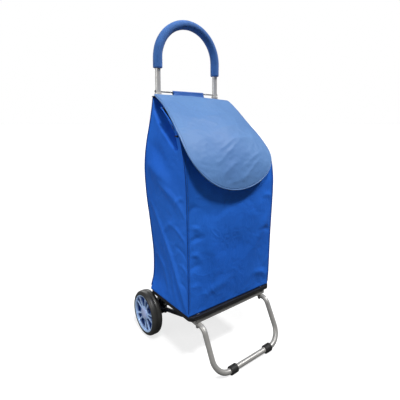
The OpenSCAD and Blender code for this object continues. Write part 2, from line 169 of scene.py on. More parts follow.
# turns a closed outline of (radius, x) round the axle, mirrored for the left side
def turnedMesh(name, outline, side, segments=96, centre=None):
    middle = centre or Vector((0, axleY, axleZ))
    made = bmesh.new()
    rings = []
    for k in range(segments):
        a = 2 * math.pi * k / segments
        rings.append([
            made.verts.new(middle + Vector((side * p[1], p[0] * math.cos(a), p[0] * math.sin(a))))
            for p in outline])
    for k in range(segments):
        here, there = rings[k], rings[(k + 1) % segments]
        for i in range(len(outline)):
            j = (i + 1) % len(outline)
            if outline[i][0] < 1e-6 and outline[j][0] < 1e-6:
                continue
            made.faces.new([here[i], here[j], there[j], there[i]])
    bmesh.ops.remove_doubles(made, verts=made.verts, dist=1e-6)
    bmesh.ops.dissolve_degenerate(made, dist=1e-7, edges=made.edges)
    bmesh.ops.recalc_face_normals(made, faces=made.faces)
    return meshFrom(made, name)


# round tube along a list of points, its ends closed, radius may change along it
def tubeMesh(name, path, radius, sides=24, closed=False):
    made = bmesh.new()
    uv = made.loops.layers.uv.new("cloth")
    count = len(path)
    lengths = runningLengths(path + path[:1])
    size = radius if callable(radius) else (lambda share: radius)
    up = None
    rings = []
    for i, p in enumerate(path):
        before = path[i - 1] if i or closed else path[i]
        after = path[(i + 1) % count] if i < count - 1 or closed else path[i]
        along = (after - before).normalized()
        if up is None:
            up = along.orthogonal().normalized()
        up = (up - along * up.dot(along)).normalized()
        across = along.cross(up)
        r = size(i / (count - 1))
        rings.append([made.verts.new(p + (up * math.cos(2 * math.pi * k / sides)
                                          + across * math.sin(2 * math.pi * k / sides)) * r)
                      for k in range(sides)])
    girth = 2 * math.pi * size(0.5) / sides
    for i in range(count if closed else count - 1):
        here, there = rings[i], rings[(i + 1) % count]
        for k in range(sides):
            m = (k + 1) % sides
            face = made.faces.new([here[k], here[m], there[m], there[k]])
            for loopOf, (u, v) in zip(face.loops, ((k, i), (k + 1, i), (k + 1, i + 1), (k, i + 1))):
                loopOf[uv].uv = (u * girth, lengths[v])
    if not closed:
        made.faces.new(list(reversed(rings[0])))
        made.faces.new(rings[-1])
    bmesh.ops.recalc_face_normals(made, faces=made.faces)
    return meshFrom(made, name)


# turns a piece's modifiers into plain mesh
def madePlain(piece):
    ready = piece.evaluated_get(bpy.context.evaluated_depsgraph_get())
    mesh = bpy.data.meshes.new_from_object(ready)
    piece.modifiers.clear()
    piece.data = mesh
    return piece


# gives a piece its body and hides the CAD parts it stands for
def settle(piece, body, slot, *replaced):
    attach(piece, body)
    if replaced:
        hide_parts(*replaced)
    return piece


# copy of a CAD part with its triangles joined and its sharp edges rounded
def softened(node, width, material, body, slot):
    made = bmesh.new()
    made.from_mesh(nodes[node].data)
    bmesh.ops.remove_doubles(made, verts=made.verts, dist=2e-6)
    bmesh.ops.dissolve_limit(made, angle_limit=math.radians(1), verts=made.verts, edges=made.edges)
    piece = addObject(node + "_soft", meshFrom(made, node + "_soft"), material)
    edge = piece.modifiers.new("edges", "BEVEL")
    edge.width = width
    edge.segments = 2
    edge.limit_method = "ANGLE"
    edge.angle_limit = math.radians(38)
    edge.harden_normals = True
    return settle(piece, body, slot, node)


# ---- materials ----

def link(tree, source, target):
    tree.links.new(source, target)


# sets a node's inputs: each is a value, or a socket to link from
def fill(tree, node, inputs):
    for name, value in inputs.items():
        if isinstance(value, bpy.types.NodeSocket):
            link(tree, value, node.inputs[name])
        else:
            node.inputs[name].default_value = value


def newNode(tree, kind, inputs=None, **settings):
    node = tree.nodes.new(kind)
    for name, value in settings.items():
        setattr(node, name, value)
    fill(tree, node, inputs or {})
    return node


# node group whose sockets are listed as name, kind and perhaps a first value
def newGroup(name, kind, inputs, outputs):
    tree = bpy.data.node_groups.new(name, kind)
    for way, sockets in (("INPUT", inputs), ("OUTPUT", outputs)):
        for label, socketKind, *value in sockets:
            socket = tree.interface.new_socket(
                name=label, in_out=way, socket_type="NodeSocket" + socketKind)
            if value:
                socket.default_value = value[0]
    return tree, tree.nodes.new("NodeGroupInput"), tree.nodes.new("NodeGroupOutput")


def mathNode(tree, kind, a, b=None, clampIt=False):
    inputs = {0: a} if b is None else {0: a, 1: b}
    return newNode(tree, "ShaderNodeMath", inputs, operation=kind, use_clamp=clampIt).outputs[0]


def noiseNode(tree, vector, scale, detail=3.0, rough=0.5, distortion=0.0):
    return newNode(tree, "ShaderNodeTexNoise", {
        "Vector": vector, "Scale": scale, "Detail": detail, "Roughness": rough,
        "Distortion": distortion}).outputs["Fac"]


def rangeNode(tree, value, fromLow, fromHigh, toLow=0.0, toHigh=1.0):
    return newNode(tree, "ShaderNodeMapRange", {
        "Value": value, "From Min": fromLow, "From Max": fromHigh,
        "To Min": toLow, "To Max": toHigh}).outputs["Result"]


def mixColour(tree, factor, a, b):
    a, b = ((*c, 1) if isinstance(c, tuple) else c for c in (a, b))
    return newNode(tree, "ShaderNodeMix", {0: factor, 6: a, 7: b}, data_type="RGBA").outputs[2]


def bumpNode(tree, height, strength, distance, normal=None):
    inputs = {"Height": height, "Strength": strength, "Distance": distance}
    if normal:
        inputs["Normal"] = normal
    return newNode(tree, "ShaderNodeBump", inputs).outputs["Normal"]


# plain weave of threads: height between 0 and 1
def makeWeaveGroup():
    tree, inside, outside = newGroup(
        "plainWeave", "ShaderNodeTree",
        [("Vector", "Vector"), ("Threads per metre", "Float", 2400.0)], [("Height", "Float")])
    split = newNode(tree, "ShaderNodeSeparateXYZ", {0: inside.outputs["Vector"]})
    turn = mathNode(tree, "MULTIPLY", inside.outputs["Threads per metre"], math.pi)
    waves = [mathNode(tree, "SINE", mathNode(tree, "MULTIPLY", split.outputs[axis], turn))
             for axis in ("X", "Y")]
    crossed = mathNode(tree, "MULTIPLY", *waves)
    fill(tree, outside, {"Height": rangeNode(tree, crossed, -1, 1)})
    return tree


# soft crumples and broad blotches that cloth shows: a height and a shade mask
def makeCrumpleGroup():
    tree, inside, outside = newGroup(
        "clothCrumple", "ShaderNodeTree",
        [("Vector", "Vector"), ("Size", "Float", 18.0)], [("Height", "Float"), ("Shade", "Float")])
    vector, size = inside.outputs["Vector"], inside.outputs["Size"]
    fine = noiseNode(tree, vector, size, 4.0, 0.45, 0.6)
    ridge = mathNode(tree, "ABSOLUTE", mathNode(tree, "SUBTRACT", fine, 0.5))
    broad = noiseNode(tree, vector, mathNode(tree, "MULTIPLY", size, 0.3))
    fill(tree, outside, {"Height": rangeNode(tree, ridge, 0.0, 0.25, 1.0, 0.0),
                         "Shade": rangeNode(tree, broad, 0.35, 0.65)})
    return tree


# light scuffs and dust that gather in patches
def makeScuffGroup():
    tree, inside, outside = newGroup(
        "scuffs", "ShaderNodeTree",
        [("Vector", "Vector"), ("Size", "Float", 60.0), ("Amount", "Float", 0.3)],
        [("Mask", "Float"), ("Grain", "Float")])
    vector, size = inside.outputs["Vector"], inside.outputs["Size"]
    patch = noiseNode(tree, vector, size, 6.0, 0.65, 0.4)
    cut = rangeNode(tree, patch, 0.55, 0.75)
    fill(tree, outside, {
        "Mask": mathNode(tree, "MULTIPLY", cut, inside.outputs["Amount"], True),
        "Grain": noiseNode(tree, vector, mathNode(tree, "MULTIPLY", size, 25.0), 2.0)})
    return tree


weaveGroup = makeWeaveGroup()
crumpleGroup = makeCrumpleGroup()
scuffGroup = makeScuffGroup()


def startMaterial(name):
    material = bpy.data.materials.new(name)
    material.use_nodes = True
    tree = material.node_tree
    return material, tree, tree.nodes["Principled BSDF"], tree.nodes.new("ShaderNodeTexCoord")


def useGroup(tree, group, inputs):
    return newNode(tree, "ShaderNodeGroup", inputs, node_tree=group).outputs


def clothMaterial(name, colour, deep, roughness=0.5, sheen=0.35, crumple=0.35, threads=1600.0,
                  gloss=0.3):
    material, tree, shader, place = startMaterial(name)
    weave = useGroup(tree, weaveGroup, {
        "Vector": place.outputs["UV"], "Threads per metre": threads})["Height"]
    folds = useGroup(tree, crumpleGroup, {"Vector": place.outputs["Object"], "Size": 16.0})
    shade = mixColour(tree, folds["Shade"], deep, colour)
    dark = tuple(c * 0.72 for c in deep)
    soft = bumpNode(tree, folds["Height"], crumple, 0.004)
    fill(tree, shader, {
        "Base Color": mixColour(tree, mathNode(tree, "MULTIPLY", weave, 0.22), shade, dark),
        "Roughness": rangeNode(tree, folds["Height"], 0.0, 1.0, roughness + 0.07, roughness - 0.05),
        "Specular IOR Level": gloss,
        "Sheen Weight": sheen,
        "Sheen Roughness": 0.4,
        "Sheen Tint": (0.75, 0.85, 1.0, 1),
        "Normal": bumpNode(tree, weave, 0.25, 0.0003, soft)})
    return material


def hardMaterial(name, colour, roughness, metallic=0.0, coat=0.0, grain=0.15, grainSize=0.0002,
                 size=60.0, wear=0.3, worn=None, stretch=None):
    material, tree, shader, place = startMaterial(name)
    vector = place.outputs["Object"]
    if stretch:
        vector = newNode(tree, "ShaderNodeMapping", {
            "Vector": vector, "Scale": stretch}).outputs["Vector"]
    marks = useGroup(tree, scuffGroup, {"Vector": vector, "Size": size, "Amount": wear})
    other = worn or tuple(clamp(c * 1.6 + 0.03) for c in colour)
    fill(tree, shader, {
        "Base Color": mixColour(tree, marks["Mask"], colour, other),
        "Roughness": rangeNode(tree, marks["Mask"], 0.0, 1.0, roughness, clamp(roughness + 0.25)),
        "Metallic": metallic,
        "Coat Weight": coat,
        "Normal": bumpNode(tree, marks["Grain"], grain, grainSize)})
    return material


# closed-cell foam: fine pores over soft mottling, with painted shade darkening the pores
def foamMaterial(name, colour, deep):
    material, tree, shader, place = startMaterial(name)
    vector = place.outputs["Object"]
    pores = newNode(tree, "ShaderNodeTexVoronoi", {
        "Scale": 900.0, "Vector": vector}).outputs["Distance"]
    mottle = noiseNode(tree, vector, 55.0, 4.0, 0.6)
    shade = mixColour(tree, rangeNode(tree, mottle, 0.35, 0.65), deep, colour)
    # painted shade: the pores are darkened in the colour
    poreShade = rangeNode(tree, pores, 0.0, 0.45, 0.45, 0.0)
    soft = bumpNode(tree, mottle, 0.2, 0.001)
    fill(tree, shader, {
        "Base Color": mixColour(tree, poreShade, shade, tuple(c * 0.45 for c in deep)),
        "Roughness": 0.82,
        "Sheen Weight": 0.25,
        "Sheen Roughness": 0.5,
        "Normal": bumpNode(tree, pores, 0.35, 0.0004, soft)})
    return material


# wheel plastic: light blue on the outer faces, with painted shade turning it deep blue in the
# recesses
def wheelMaterial(name, colour, deep, faceX, depth):
    material, tree, shader, place = startMaterial(name)
    split = newNode(tree, "ShaderNodeSeparateXYZ", {0: place.outputs["Object"]})
    outward = mathNode(tree, "ABSOLUTE", split.outputs["X"])
    marks = useGroup(tree, scuffGroup, {
        "Vector": place.outputs["Object"], "Size": 70.0, "Amount": 0.25})
    # painted shade: the colour darkens from the faces into the recesses
    base = mixColour(tree, rangeNode(tree, outward, faceX - depth, faceX), deep, colour)
    scuffed = tuple(clamp(c * 1.25 + 0.04) for c in colour)
    fill(tree, shader, {
        "Base Color": mixColour(tree, marks["Mask"], base, scuffed),
        "Roughness": rangeNode(tree, marks["Mask"], 0.0, 1.0, 0.3, 0.5),
        "Coat Weight": 0.35,
        "Normal": bumpNode(tree, marks["Grain"], 0.08, 0.0002)})
    return material


finishes = {
    "silver": hardMaterial("silverPaint", (0.70, 0.69, 0.67), 0.4, metallic=0.35, grain=0.1,
                           grainSize=0.0001, size=45.0, wear=0.3, worn=(0.26, 0.255, 0.245)),
    # the leg loop's paint is the frame's silver, made darker as painted shade
    "silverPaintShaded": hardMaterial("silverPaintShaded", (0.37, 0.363, 0.348), 0.4, metallic=0.35, grain=0.1,
                             grainSize=0.0001, size=45.0, wear=0.3, worn=(0.2, 0.196, 0.188)),
    "zinc": hardMaterial("zincPlate", (0.36, 0.36, 0.36), 0.42, metallic=0.7, size=120.0,
                         wear=0.4, worn=(0.34, 0.33, 0.31)),
    "blackPlastic": hardMaterial("blackPlastic", (0.006, 0.006, 0.007), 0.45, grain=0.3,
                                 grainSize=0.0003, size=40.0, wear=0.35),
    "blackPaint": hardMaterial("blackPaint", (0.015, 0.015, 0.016), 0.3, coat=0.3, size=90.0,
                               wear=0.4, worn=(0.07, 0.065, 0.06)),
    "rubber": hardMaterial("blackRubber", (0.012, 0.012, 0.012), 0.6, grain=0.35,
                           grainSize=0.0003, size=80.0, wear=0.5, worn=(0.06, 0.058, 0.055)),
    "greyPaint": hardMaterial("greyPaint", (0.22, 0.216, 0.206), 0.4, metallic=0.2, size=50.0,
                              wear=0.45, worn=(0.26, 0.255, 0.245)),
    "tyre": hardMaterial("tyreGrey", (0.04, 0.04, 0.038), 0.38, grain=0.2, grainSize=0.0003,
                         size=35.0, wear=0.4, worn=(0.065, 0.064, 0.06)),
    "nylon": hardMaterial("nylon", (0.72, 0.71, 0.68), 0.4, size=80.0, wear=0.2),
    "cap": hardMaterial("capPlastic", (0.5, 0.6, 0.93), 0.28, coat=0.4, size=120.0, wear=0.2),
    "board": hardMaterial("hollowBoard", (0.035, 0.035, 0.04), 0.55, grain=0.5, grainSize=0.0006,
                          size=30.0, wear=0.5, stretch=(6.0, 1.0, 1.0)),
    "bag": clothMaterial("bagCloth", (0.028, 0.183, 0.80), (0.02, 0.148, 0.70), roughness=0.58,
                         sheen=0.0, gloss=0.1, crumple=0.28),
    # the flap is the bag's own cloth; its paler, lighter colour is painted light from the top light
    # and sheen
    "flap": clothMaterial("flapClothPaintedLight", (0.122, 0.262, 0.54), (0.098, 0.218, 0.49),
                          roughness=0.52, sheen=0.1, crumple=0.25, gloss=0.25),
    "lining": clothMaterial("bagLining", (0.05, 0.055, 0.07), (0.035, 0.04, 0.05), roughness=0.35,
                            sheen=0.1, crumple=0.5, threads=900.0),
    # the piping carries the flap's painted light: paler and lighter than the bag's cloth
    "piping": clothMaterial("pipingClothPaintedLight", (0.125, 0.26, 0.55), (0.1, 0.22, 0.48), roughness=0.4,
                            sheen=0.3, crumple=0.1),
    # the loop is the bag's own cloth; its darker, duller colour is painted shade
    "loop": clothMaterial("loopClothPaintedShade", (0.03, 0.13, 0.46), (0.024, 0.105, 0.39),
                          sheen=0.05, gloss=0.2),
    "binding": clothMaterial("bindingTape", (0.011, 0.065, 0.32), (0.008, 0.05, 0.26),
                             sheen=0.0, crumple=0.2, gloss=0.1),
    "thread": hardMaterial("stitchThread", (0.012, 0.04, 0.17), 0.7, grain=0.5, grainSize=0.0002,
                           size=400.0, wear=0.2),
    "foam": foamMaterial("gripFoam", (0.045, 0.18, 0.56), (0.033, 0.144, 0.46)),
}
print("finishes made:", len(finishes))


# ---- geometry node trees ----

def startTree(name, inputs):
    shape = [("Geometry", "Geometry")]
    return newGroup(name, "GeometryNodeTree", shape + inputs, shape)


def finishTree(tree, inside, outside, geometry):
    real = newNode(tree, "GeometryNodeRealizeInstances", {"Geometry": geometry})
    paint = newNode(tree, "GeometryNodeSetMaterial", {
        "Geometry": real.outputs["Geometry"], "Material": inside.outputs["Material"]})
    fill(tree, outside, {"Geometry": paint.outputs["Geometry"]})
    return tree


# lays one long bead per stitch along an edge path
def makeStitchTree():
    tree, inside, outside = startTree("stitchRow", [
        ("Pitch", "Float"), ("Length", "Float"), ("Thickness", "Float"), ("Material", "Material")])
    given = inside.outputs
    path = newNode(tree, "GeometryNodeMeshToCurve", {0: given["Geometry"]})
    even = newNode(tree, "GeometryNodeResampleCurve", {
        "Curve": path.outputs[0], "Length": given["Pitch"]}, mode="LENGTH")
    bead = newNode(tree, "GeometryNodeMeshUVSphere", {"Segments": 6, "Rings": 4, "Radius": 0.5})
    size = newNode(tree, "ShaderNodeCombineXYZ", {
        "X": given["Length"], "Y": given["Thickness"], "Z": given["Thickness"]})
    tangent = newNode(tree, "GeometryNodeInputTangent")
    turn = newNode(tree, "FunctionNodeAlignRotationToVector", {
        "Vector": tangent.outputs[0]}, axis="X")
    place = newNode(tree, "GeometryNodeInstanceOnPoints", {
        "Points": even.outputs[0], "Instance": bead.outputs["Mesh"],
        "Rotation": turn.outputs["Rotation"], "Scale": size.outputs[0]})
    return finishTree(tree, inside, outside, place.outputs["Instances"])


# copies one spoke round the axle in pairs
def makeSpokeTree():
    tree, inside, outside = startTree("spokeRing", [
        ("Pairs", "Int"), ("First angle", "Float"), ("Pair turn", "Float"),
        ("Centre", "Vector"), ("Material", "Material")])
    given = inside.outputs
    total = mathNode(tree, "MULTIPLY", given["Pairs"], 2.0)
    points = newNode(tree, "GeometryNodePoints", {"Count": total})
    index = newNode(tree, "GeometryNodeInputIndex").outputs[0]
    pair = mathNode(tree, "FLOOR", mathNode(tree, "MULTIPLY", index, 0.5))
    half = mathNode(tree, "MODULO", index, 2.0)
    step = mathNode(tree, "DIVIDE", 2 * math.pi, given["Pairs"])
    sign = mathNode(tree, "SUBTRACT", mathNode(tree, "MULTIPLY", half, 2.0), 1.0)
    angle = mathNode(tree, "ADD", mathNode(tree, "MULTIPLY", pair, step),
                     mathNode(tree, "MULTIPLY", sign, given["Pair turn"]))
    angle = mathNode(tree, "ADD", angle, given["First angle"])
    turn = newNode(tree, "ShaderNodeCombineXYZ", {"X": angle})
    place = newNode(tree, "GeometryNodeInstanceOnPoints", {
        "Points": points.outputs[0], "Instance": given["Geometry"], "Rotation": turn.outputs[0]})
    real = newNode(tree, "GeometryNodeRealizeInstances", {"Geometry": place.outputs["Instances"]})
    move = newNode(tree, "GeometryNodeTransform", {
        "Geometry": real.outputs["Geometry"], "Translation": given["Centre"]})
    return finishTree(tree, inside, outside, move.outputs["Geometry"])


# round ribs in a row along X
def makeRibTree():
    tree, inside, outside = startTree("ribRow", [
        ("Ribs", "Int"), ("Pitch", "Float"), ("Radius", "Float"), ("Rib width", "Float"),
        ("Start", "Vector"), ("Material", "Material")])
    given = inside.outputs
    ring = newNode(tree, "GeometryNodeCurvePrimitiveCircle", {
        "Resolution": 48, "Radius": given["Radius"]})
    section = newNode(tree, "GeometryNodeCurvePrimitiveCircle", {
        "Resolution": 10, "Radius": mathNode(tree, "MULTIPLY", given["Rib width"], 0.5)})
    swept = newNode(tree, "GeometryNodeCurveToMesh", {
        "Curve": ring.outputs[0], "Profile Curve": section.outputs[0]})
    stand = newNode(tree, "GeometryNodeTransform", {
        "Geometry": swept.outputs[0], "Rotation": (0, math.pi / 2, 0)})
    smooth = newNode(tree, "GeometryNodeSetShadeSmooth", {"Geometry": stand.outputs[0]})
    index = newNode(tree, "GeometryNodeInputIndex").outputs[0]
    along = newNode(tree, "ShaderNodeCombineXYZ", {
        "X": mathNode(tree, "MULTIPLY", index, given["Pitch"])})
    spot = newNode(tree, "ShaderNodeVectorMath", {
        0: along.outputs[0], 1: given["Start"]}, operation="ADD")
    points = newNode(tree, "GeometryNodePoints", {
        "Count": given["Ribs"], "Position": spot.outputs[0]})
    place = newNode(tree, "GeometryNodeInstanceOnPoints", {
        "Points": points.outputs[0], "Instance": smooth.outputs[0]})
    both = newNode(tree, "GeometryNodeJoinGeometry", {0: place.outputs["Instances"]})
    link(tree, given["Geometry"], both.inputs[0])
    return finishTree(tree, inside, outside, both.outputs[0])


# runs a tree on a piece and leaves a plain mesh
def runTree(piece, tree, values):
    step = piece.modifiers.new(tree.name, "NODES")
    step.node_group = tree
    for item in tree.interface.items_tree:
        if item.item_type == "SOCKET" and item.in_out == "INPUT" and item.name in values:
            step[item.identifier] = values[item.name]
    bpy.context.view_layer.update()
    return madePlain(piece)


stitchTree = makeStitchTree()
spokeTree = makeSpokeTree()
ribTree = makeRibTree()

thread = {"pitch": 3.6 * mm, "length": 2.8 * mm, "thickness": 1.1 * mm}


def stitches(name, path):
    mesh = bpy.data.meshes.new(name)
    mesh.from_pydata(path, [(i, i + 1) for i in range(len(path) - 1)], [])
    piece = addObject(name, mesh, smooth=False)
    runTree(piece, stitchTree, {
        "Pitch": thread["pitch"], "Length": thread["length"], "Thickness": thread["thickness"],
        "Material": finishes["thread"]})
    piece.data.polygons.foreach_set("use_smooth", [True] * len(piece.data.polygons))
    return piece


# noise ripples, each a height, waves along both directions and a seed
def rippleSum(ripples, u, v, shift=0.0):
    return sum(height * noise.noise(Vector((u * wavesU, v * wavesV, seed + shift)))
               for height, wavesU, wavesV, seed in ripples)


# ---- flap: one curve down its length, more sag on the right ----

bagBackLow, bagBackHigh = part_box("bag_back")
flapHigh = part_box("flap")[1]
backY = bagBackHigh.y
bagFloor = bagBackLow.z
bagTop = bagBackHigh.z

flap = {
    # slope of the middle line in degrees, as a curve over the share of its length
    "slope": (24, 22, 42),
    "length": 361 * mm,
    "start": Vector((0, backY - 1.5 * mm, bagTop + 2.5 * mm)),
    "halfWidth": flapHigh.x,
    "round": 127 * mm,
    "rightSag": 30 * mm,
    "seamDrop": 6 * mm,
    "seamDropEnd": 0.4,
    "leftRise": 3 * mm,
    "crown": 2.5 * mm,
    "sidePower": 1.6,
    # start, peak and end along the length
    "sagAlong": (-0.05, 0.36, 1.15),
    "riseAlong": (0.0, 0.16, 0.45),
    "crownAlong": (0.1, 0.6, 1.2),
    "seamHalf": {"left": 131 * mm, "right": 152 * mm},
    "taperEnd": 0.5,
    "taperPower": 0.7,
    "shortest": 0.3,
    "thickness": 2.2 * mm,
    "piping": 1.9 * mm,
    "crease": 0.75,
    "creaseFade": 30 * mm,
    "ripples": [(0.9 * mm, 22, 30, 1.7), (0.5 * mm, 60, 90, 4.1)],
    "stitchInset": 3.6 * mm,
    "steps": 128,
}


def flapSlope(share):
    a, b, c = flap["slope"]
    return math.radians(a + b * share + c * share * share)


def flapLine():
    points = [flap["start"].copy()]
    piece = flap["length"] / flap["steps"]
    for k in range(flap["steps"]):
        slope = flapSlope((k + 0.5) / flap["steps"])
        points.append(points[-1] + Vector((0, -piece * math.cos(slope), -piece * math.sin(slope))))
    return points


flapMiddle = flapLine()
roundMiddleZ = flapMiddle[-1].z + flap["round"]


# the flap is narrower at its seam, more so on the left
def taper(x, share):
    half = flap["seamHalf"]["left" if x < 0 else "right"]
    grown = clamp(share / flap["taperEnd"]) ** flap["taperPower"]
    return mix(half / flap["halfWidth"], 1.0, grown)


# point of the flap's middle surface at x and at a share of its length, moved inwards by depth
def flapPoint(x, share, depth=0.0):
    at = clamp(share) * flap["steps"]
    k = min(int(at), flap["steps"] - 1)
    here = flapMiddle[k].lerp(flapMiddle[k + 1], at - k)
    slope = flapSlope(share)
    side = x / flap["halfWidth"]
    outer = abs(side) ** flap["sidePower"]
    if side > 0:
        drop = -flap["rightSag"] * outer * hump(share, *flap["sagAlong"])
        drop -= flap["seamDrop"] * side * (1 - ease(share, 0.0, flap["seamDropEnd"]))
    else:
        drop = flap["leftRise"] * outer * hump(share, *flap["riseAlong"])
    crown = -flap["crown"] * side * side * hump(share, *flap["crownAlong"])
    out = Vector((0, -math.sin(slope), math.cos(slope)))
    return Vector((x * taper(x, share), here.y, here.z + drop)) + out * (crown - depth)


# share of the length at which the flap ends, by its rounded outline
def flapEnd(x):
    side = clamp(abs(x) / flap["halfWidth"])
    lowest = roundMiddleZ - flap["round"] * math.sqrt(max(0.0, 1 - side * side))
    k = flap["steps"]
    while k > 0 and flapMiddle[k].z <= lowest:
        k -= 1
    if k in (0, flap["steps"]):
        return 1.0
    here, after = flapMiddle[k].z, flapMiddle[k + 1].z
    share = (k + (here - lowest) / (here - after + 1e-9)) / flap["steps"]
    return clamp(share, flap["shortest"], 1.0)


# share of the flap's length at a given y, used to hang the mouth under the flap
def flapShareAtY(y):
    for k in range(flap["steps"]):
        if flapMiddle[k + 1].y <= y:
            span = flapMiddle[k].y - flapMiddle[k + 1].y
            return (k + (flapMiddle[k].y - y) / span) / flap["steps"]
    return 1.0


# how far forward the flap's surface lies at a height
def flapYAtHeight(x, z):
    for k in range(0, flap["steps"] + 1, 2):
        p = flapPoint(x, k / flap["steps"])
        if p.z <= z:
            return p.y
    return flapPoint(x, 1.0).y


# fine cross wrinkles: share of the length, x from and to in mm, lean, width and height in mm
flapCreases = [
    (0.12, -60, 30, 0.02, 6, 1.0), (0.18, -80, 75, -0.03, 6, -0.9), (0.22, -85, 60, 0.02, 6, 1.1),
    (0.26, -20, 110, 0.10, 7, 1.3), (0.33, -70, 120, -0.18, 8, 1.7),
    (0.38, -110, -10, 0.22, 6, 1.3),
    (0.41, -95, 0, 0.25, 6, 1.2), (0.45, -40, 130, -0.30, 10, 2.2), (0.52, 10, 140, 0.15, 7, -1.4),
    (0.57, 20, 130, -0.22, 11, 2.4), (0.64, -60, 40, -0.50, 7, 2.0), (0.70, -80, 50, -0.60, 8, 2.4),
    (0.76, 20, 110, -0.55, 7, 1.9), (0.82, -60, 20, -0.45, 7, 1.7), (0.86, 0, 90, -0.70, 6, 1.8),
    (0.92, -40, 50, -0.30, 7, 1.2)
]


def flapWrinkle(x, share):
    total = 0.0
    along = share * flap["length"]
    for at, x0, x1, lean, width, height in flapCreases:
        middle = (x0 + x1) / 2 * mm
        off = (along - at * flap["length"] - lean * (x - middle)) / (width * mm)
        inside = hump(x, x0 * mm - flap["creaseFade"], middle, x1 * mm + flap["creaseFade"])
        total += flap["crease"] * height * mm * math.exp(-abs(off) ** 1.5) * inside
    return total + rippleSum(flap["ripples"], x, along)


def flapSkin(x, share, depth=0.0):
    edge = ease(flap["halfWidth"] - abs(x), 0.0, 0.02) * ease(flapEnd(x) - share, 0.0, 0.05)
    return flapPoint(x, share, depth - flapWrinkle(x, share) * edge * ease(share, 0.0, 0.06))


# columns crowd towards the sides, where the outline turns
def flapColumn(k, columns, half):
    return half * math.sin((-1 + 2 * k / columns) * math.pi / 2)


def buildFlap():
    columns, rows = 140, 140
    grid = []
    for j in range(rows + 1):
        across = [flapColumn(k, columns, flap["halfWidth"]) for k in range(columns + 1)]
        grid.append([flapSkin(x, flapEnd(x) * j / rows) for x in across])
    mesh = gridMesh("flap_cloth", grid, flip=True)
    piece = addObject("flap_cloth", mesh, finishes["flap"])
    wall = piece.modifiers.new("cloth thickness", "SOLIDIFY")
    wall.thickness = flap["thickness"]
    wall.offset = 0
    settle(madePlain(piece), "flap", "flap_fabric", "flap")
    return piece


# outline of the flap from its left seam round the end to its right seam
def flapOutline(inset, lift=0.0):
    rows, columns, first = 60, 90, 0.015
    half = flap["halfWidth"] - inset
    endShare = inset / flap["length"]

    def sidePath(x, steps):
        last = flapEnd(x) - endShare
        return [flapSkin(x, mix(first, last, j / rows), -lift) for j in steps]

    path = sidePath(-half, range(rows))
    for k in range(columns + 1):
        x = flapColumn(k, columns, half)
        path.append(flapSkin(x, flapEnd(x) - endShare, -lift))
    return path + sidePath(half, range(rows - 1, -1, -1))


def foldsFlat(piece):
    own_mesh(piece)
    return piece


flapPiece = buildFlap()
pipingMesh = tubeMesh("flap_piping", flapOutline(0.0), flap["piping"], sides=12)
piping = settle(addObject("flap_piping", pipingMesh, finishes["piping"]), "flap", "flap_fabric")
flapStitchPath = flapOutline(flap["stitchInset"], flap["thickness"] / 2)
flapStitches = settle(stitches("flap_stitches", flapStitchPath), "flap", "flap_fabric")
for part in (flapPiece, piping, flapStitches):
    foldsFlat(part)
print("flap made")


# ---- bag: lofted shell, open at the mouth ----

bagHeight = bagTop - bagFloor
bag = {
    "halfWidth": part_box("bag_front")[1].x,
    # height share, half width at the back
    "backHalf": [(0.0, 0.152), (0.03, 0.147), (0.08, 0.140), (0.19, 0.139), (0.27, 0.143),
                 (0.40, 0.152), (0.49, 0.159), (0.61, 0.164), (0.69, 0.163), (0.77, 0.157),
                 (0.89, 0.143), (1.0, 0.134)],
    # height share, depth from the back to the front seam on each side
    "depthLeft": [(0.0, 0.1935), (0.2, 0.192), (0.36, 0.190), (0.58, 0.185), (0.69, 0.177),
                  (0.84, 0.150), (1.0, 0.115)],
    "depthRight": [(0.0, 0.1955), (0.08, 0.198), (0.26, 0.201), (0.44, 0.206), (0.53, 0.208),
                   (0.6, 0.207), (0.7, 0.196), (0.8, 0.166), (1.0, 0.115)],
    # height share, how far the panel stands out past its seams
    "frontSwell": [(0.0, 0.0), (0.2, 0.007), (0.42, 0.012), (0.55, 0.007), (0.66, 0.0),
                   (0.8, -0.004), (1.0, 0.0)],
    "sideSwell": [(0.0, 0.0), (0.15, 0.002), (0.45, 0.006), (0.65, 0.004), (0.8, 0.0), (1.0, 0.0)],
    # gusset: places across the panel and up it are shares
    "gussetDepth": 130 * mm,
    "gussetAt": 0.81,
    "gussetEnd": 0.895,
    "gussetBack": 0.1,
    "gussetFrom": 0.715,
    "gussetTo": 0.93,
    "gussetSlope": 3.0,
    "gussetSoft": 20 * mm,
    "gussetPower": 0.8,
    "mouthShare": 0.52,
    "underFlap": 8 * mm,
    "cloth": 1.4 * mm,
    # shares of a panel over which creases fade out: before, after and above its edges
    "fade": {"side": (0.08, 0.06, 0.04), "front": (0.04, 0.04, 0.03)},
    "ripples": {"side": [(1.6 * mm, 3.1, 11, 3.3), (0.6 * mm, 9, 37, 7.3)],
                "front": [(1.6 * mm, 4, 9, 11.0), (0.5 * mm, 14, 40, 5.0)],
                "back": [(0.5 * mm, 5, 14, 21.0)]},
    "columns": {"back": 40, "side": 80, "front": 64},
    "rows": 144,
}

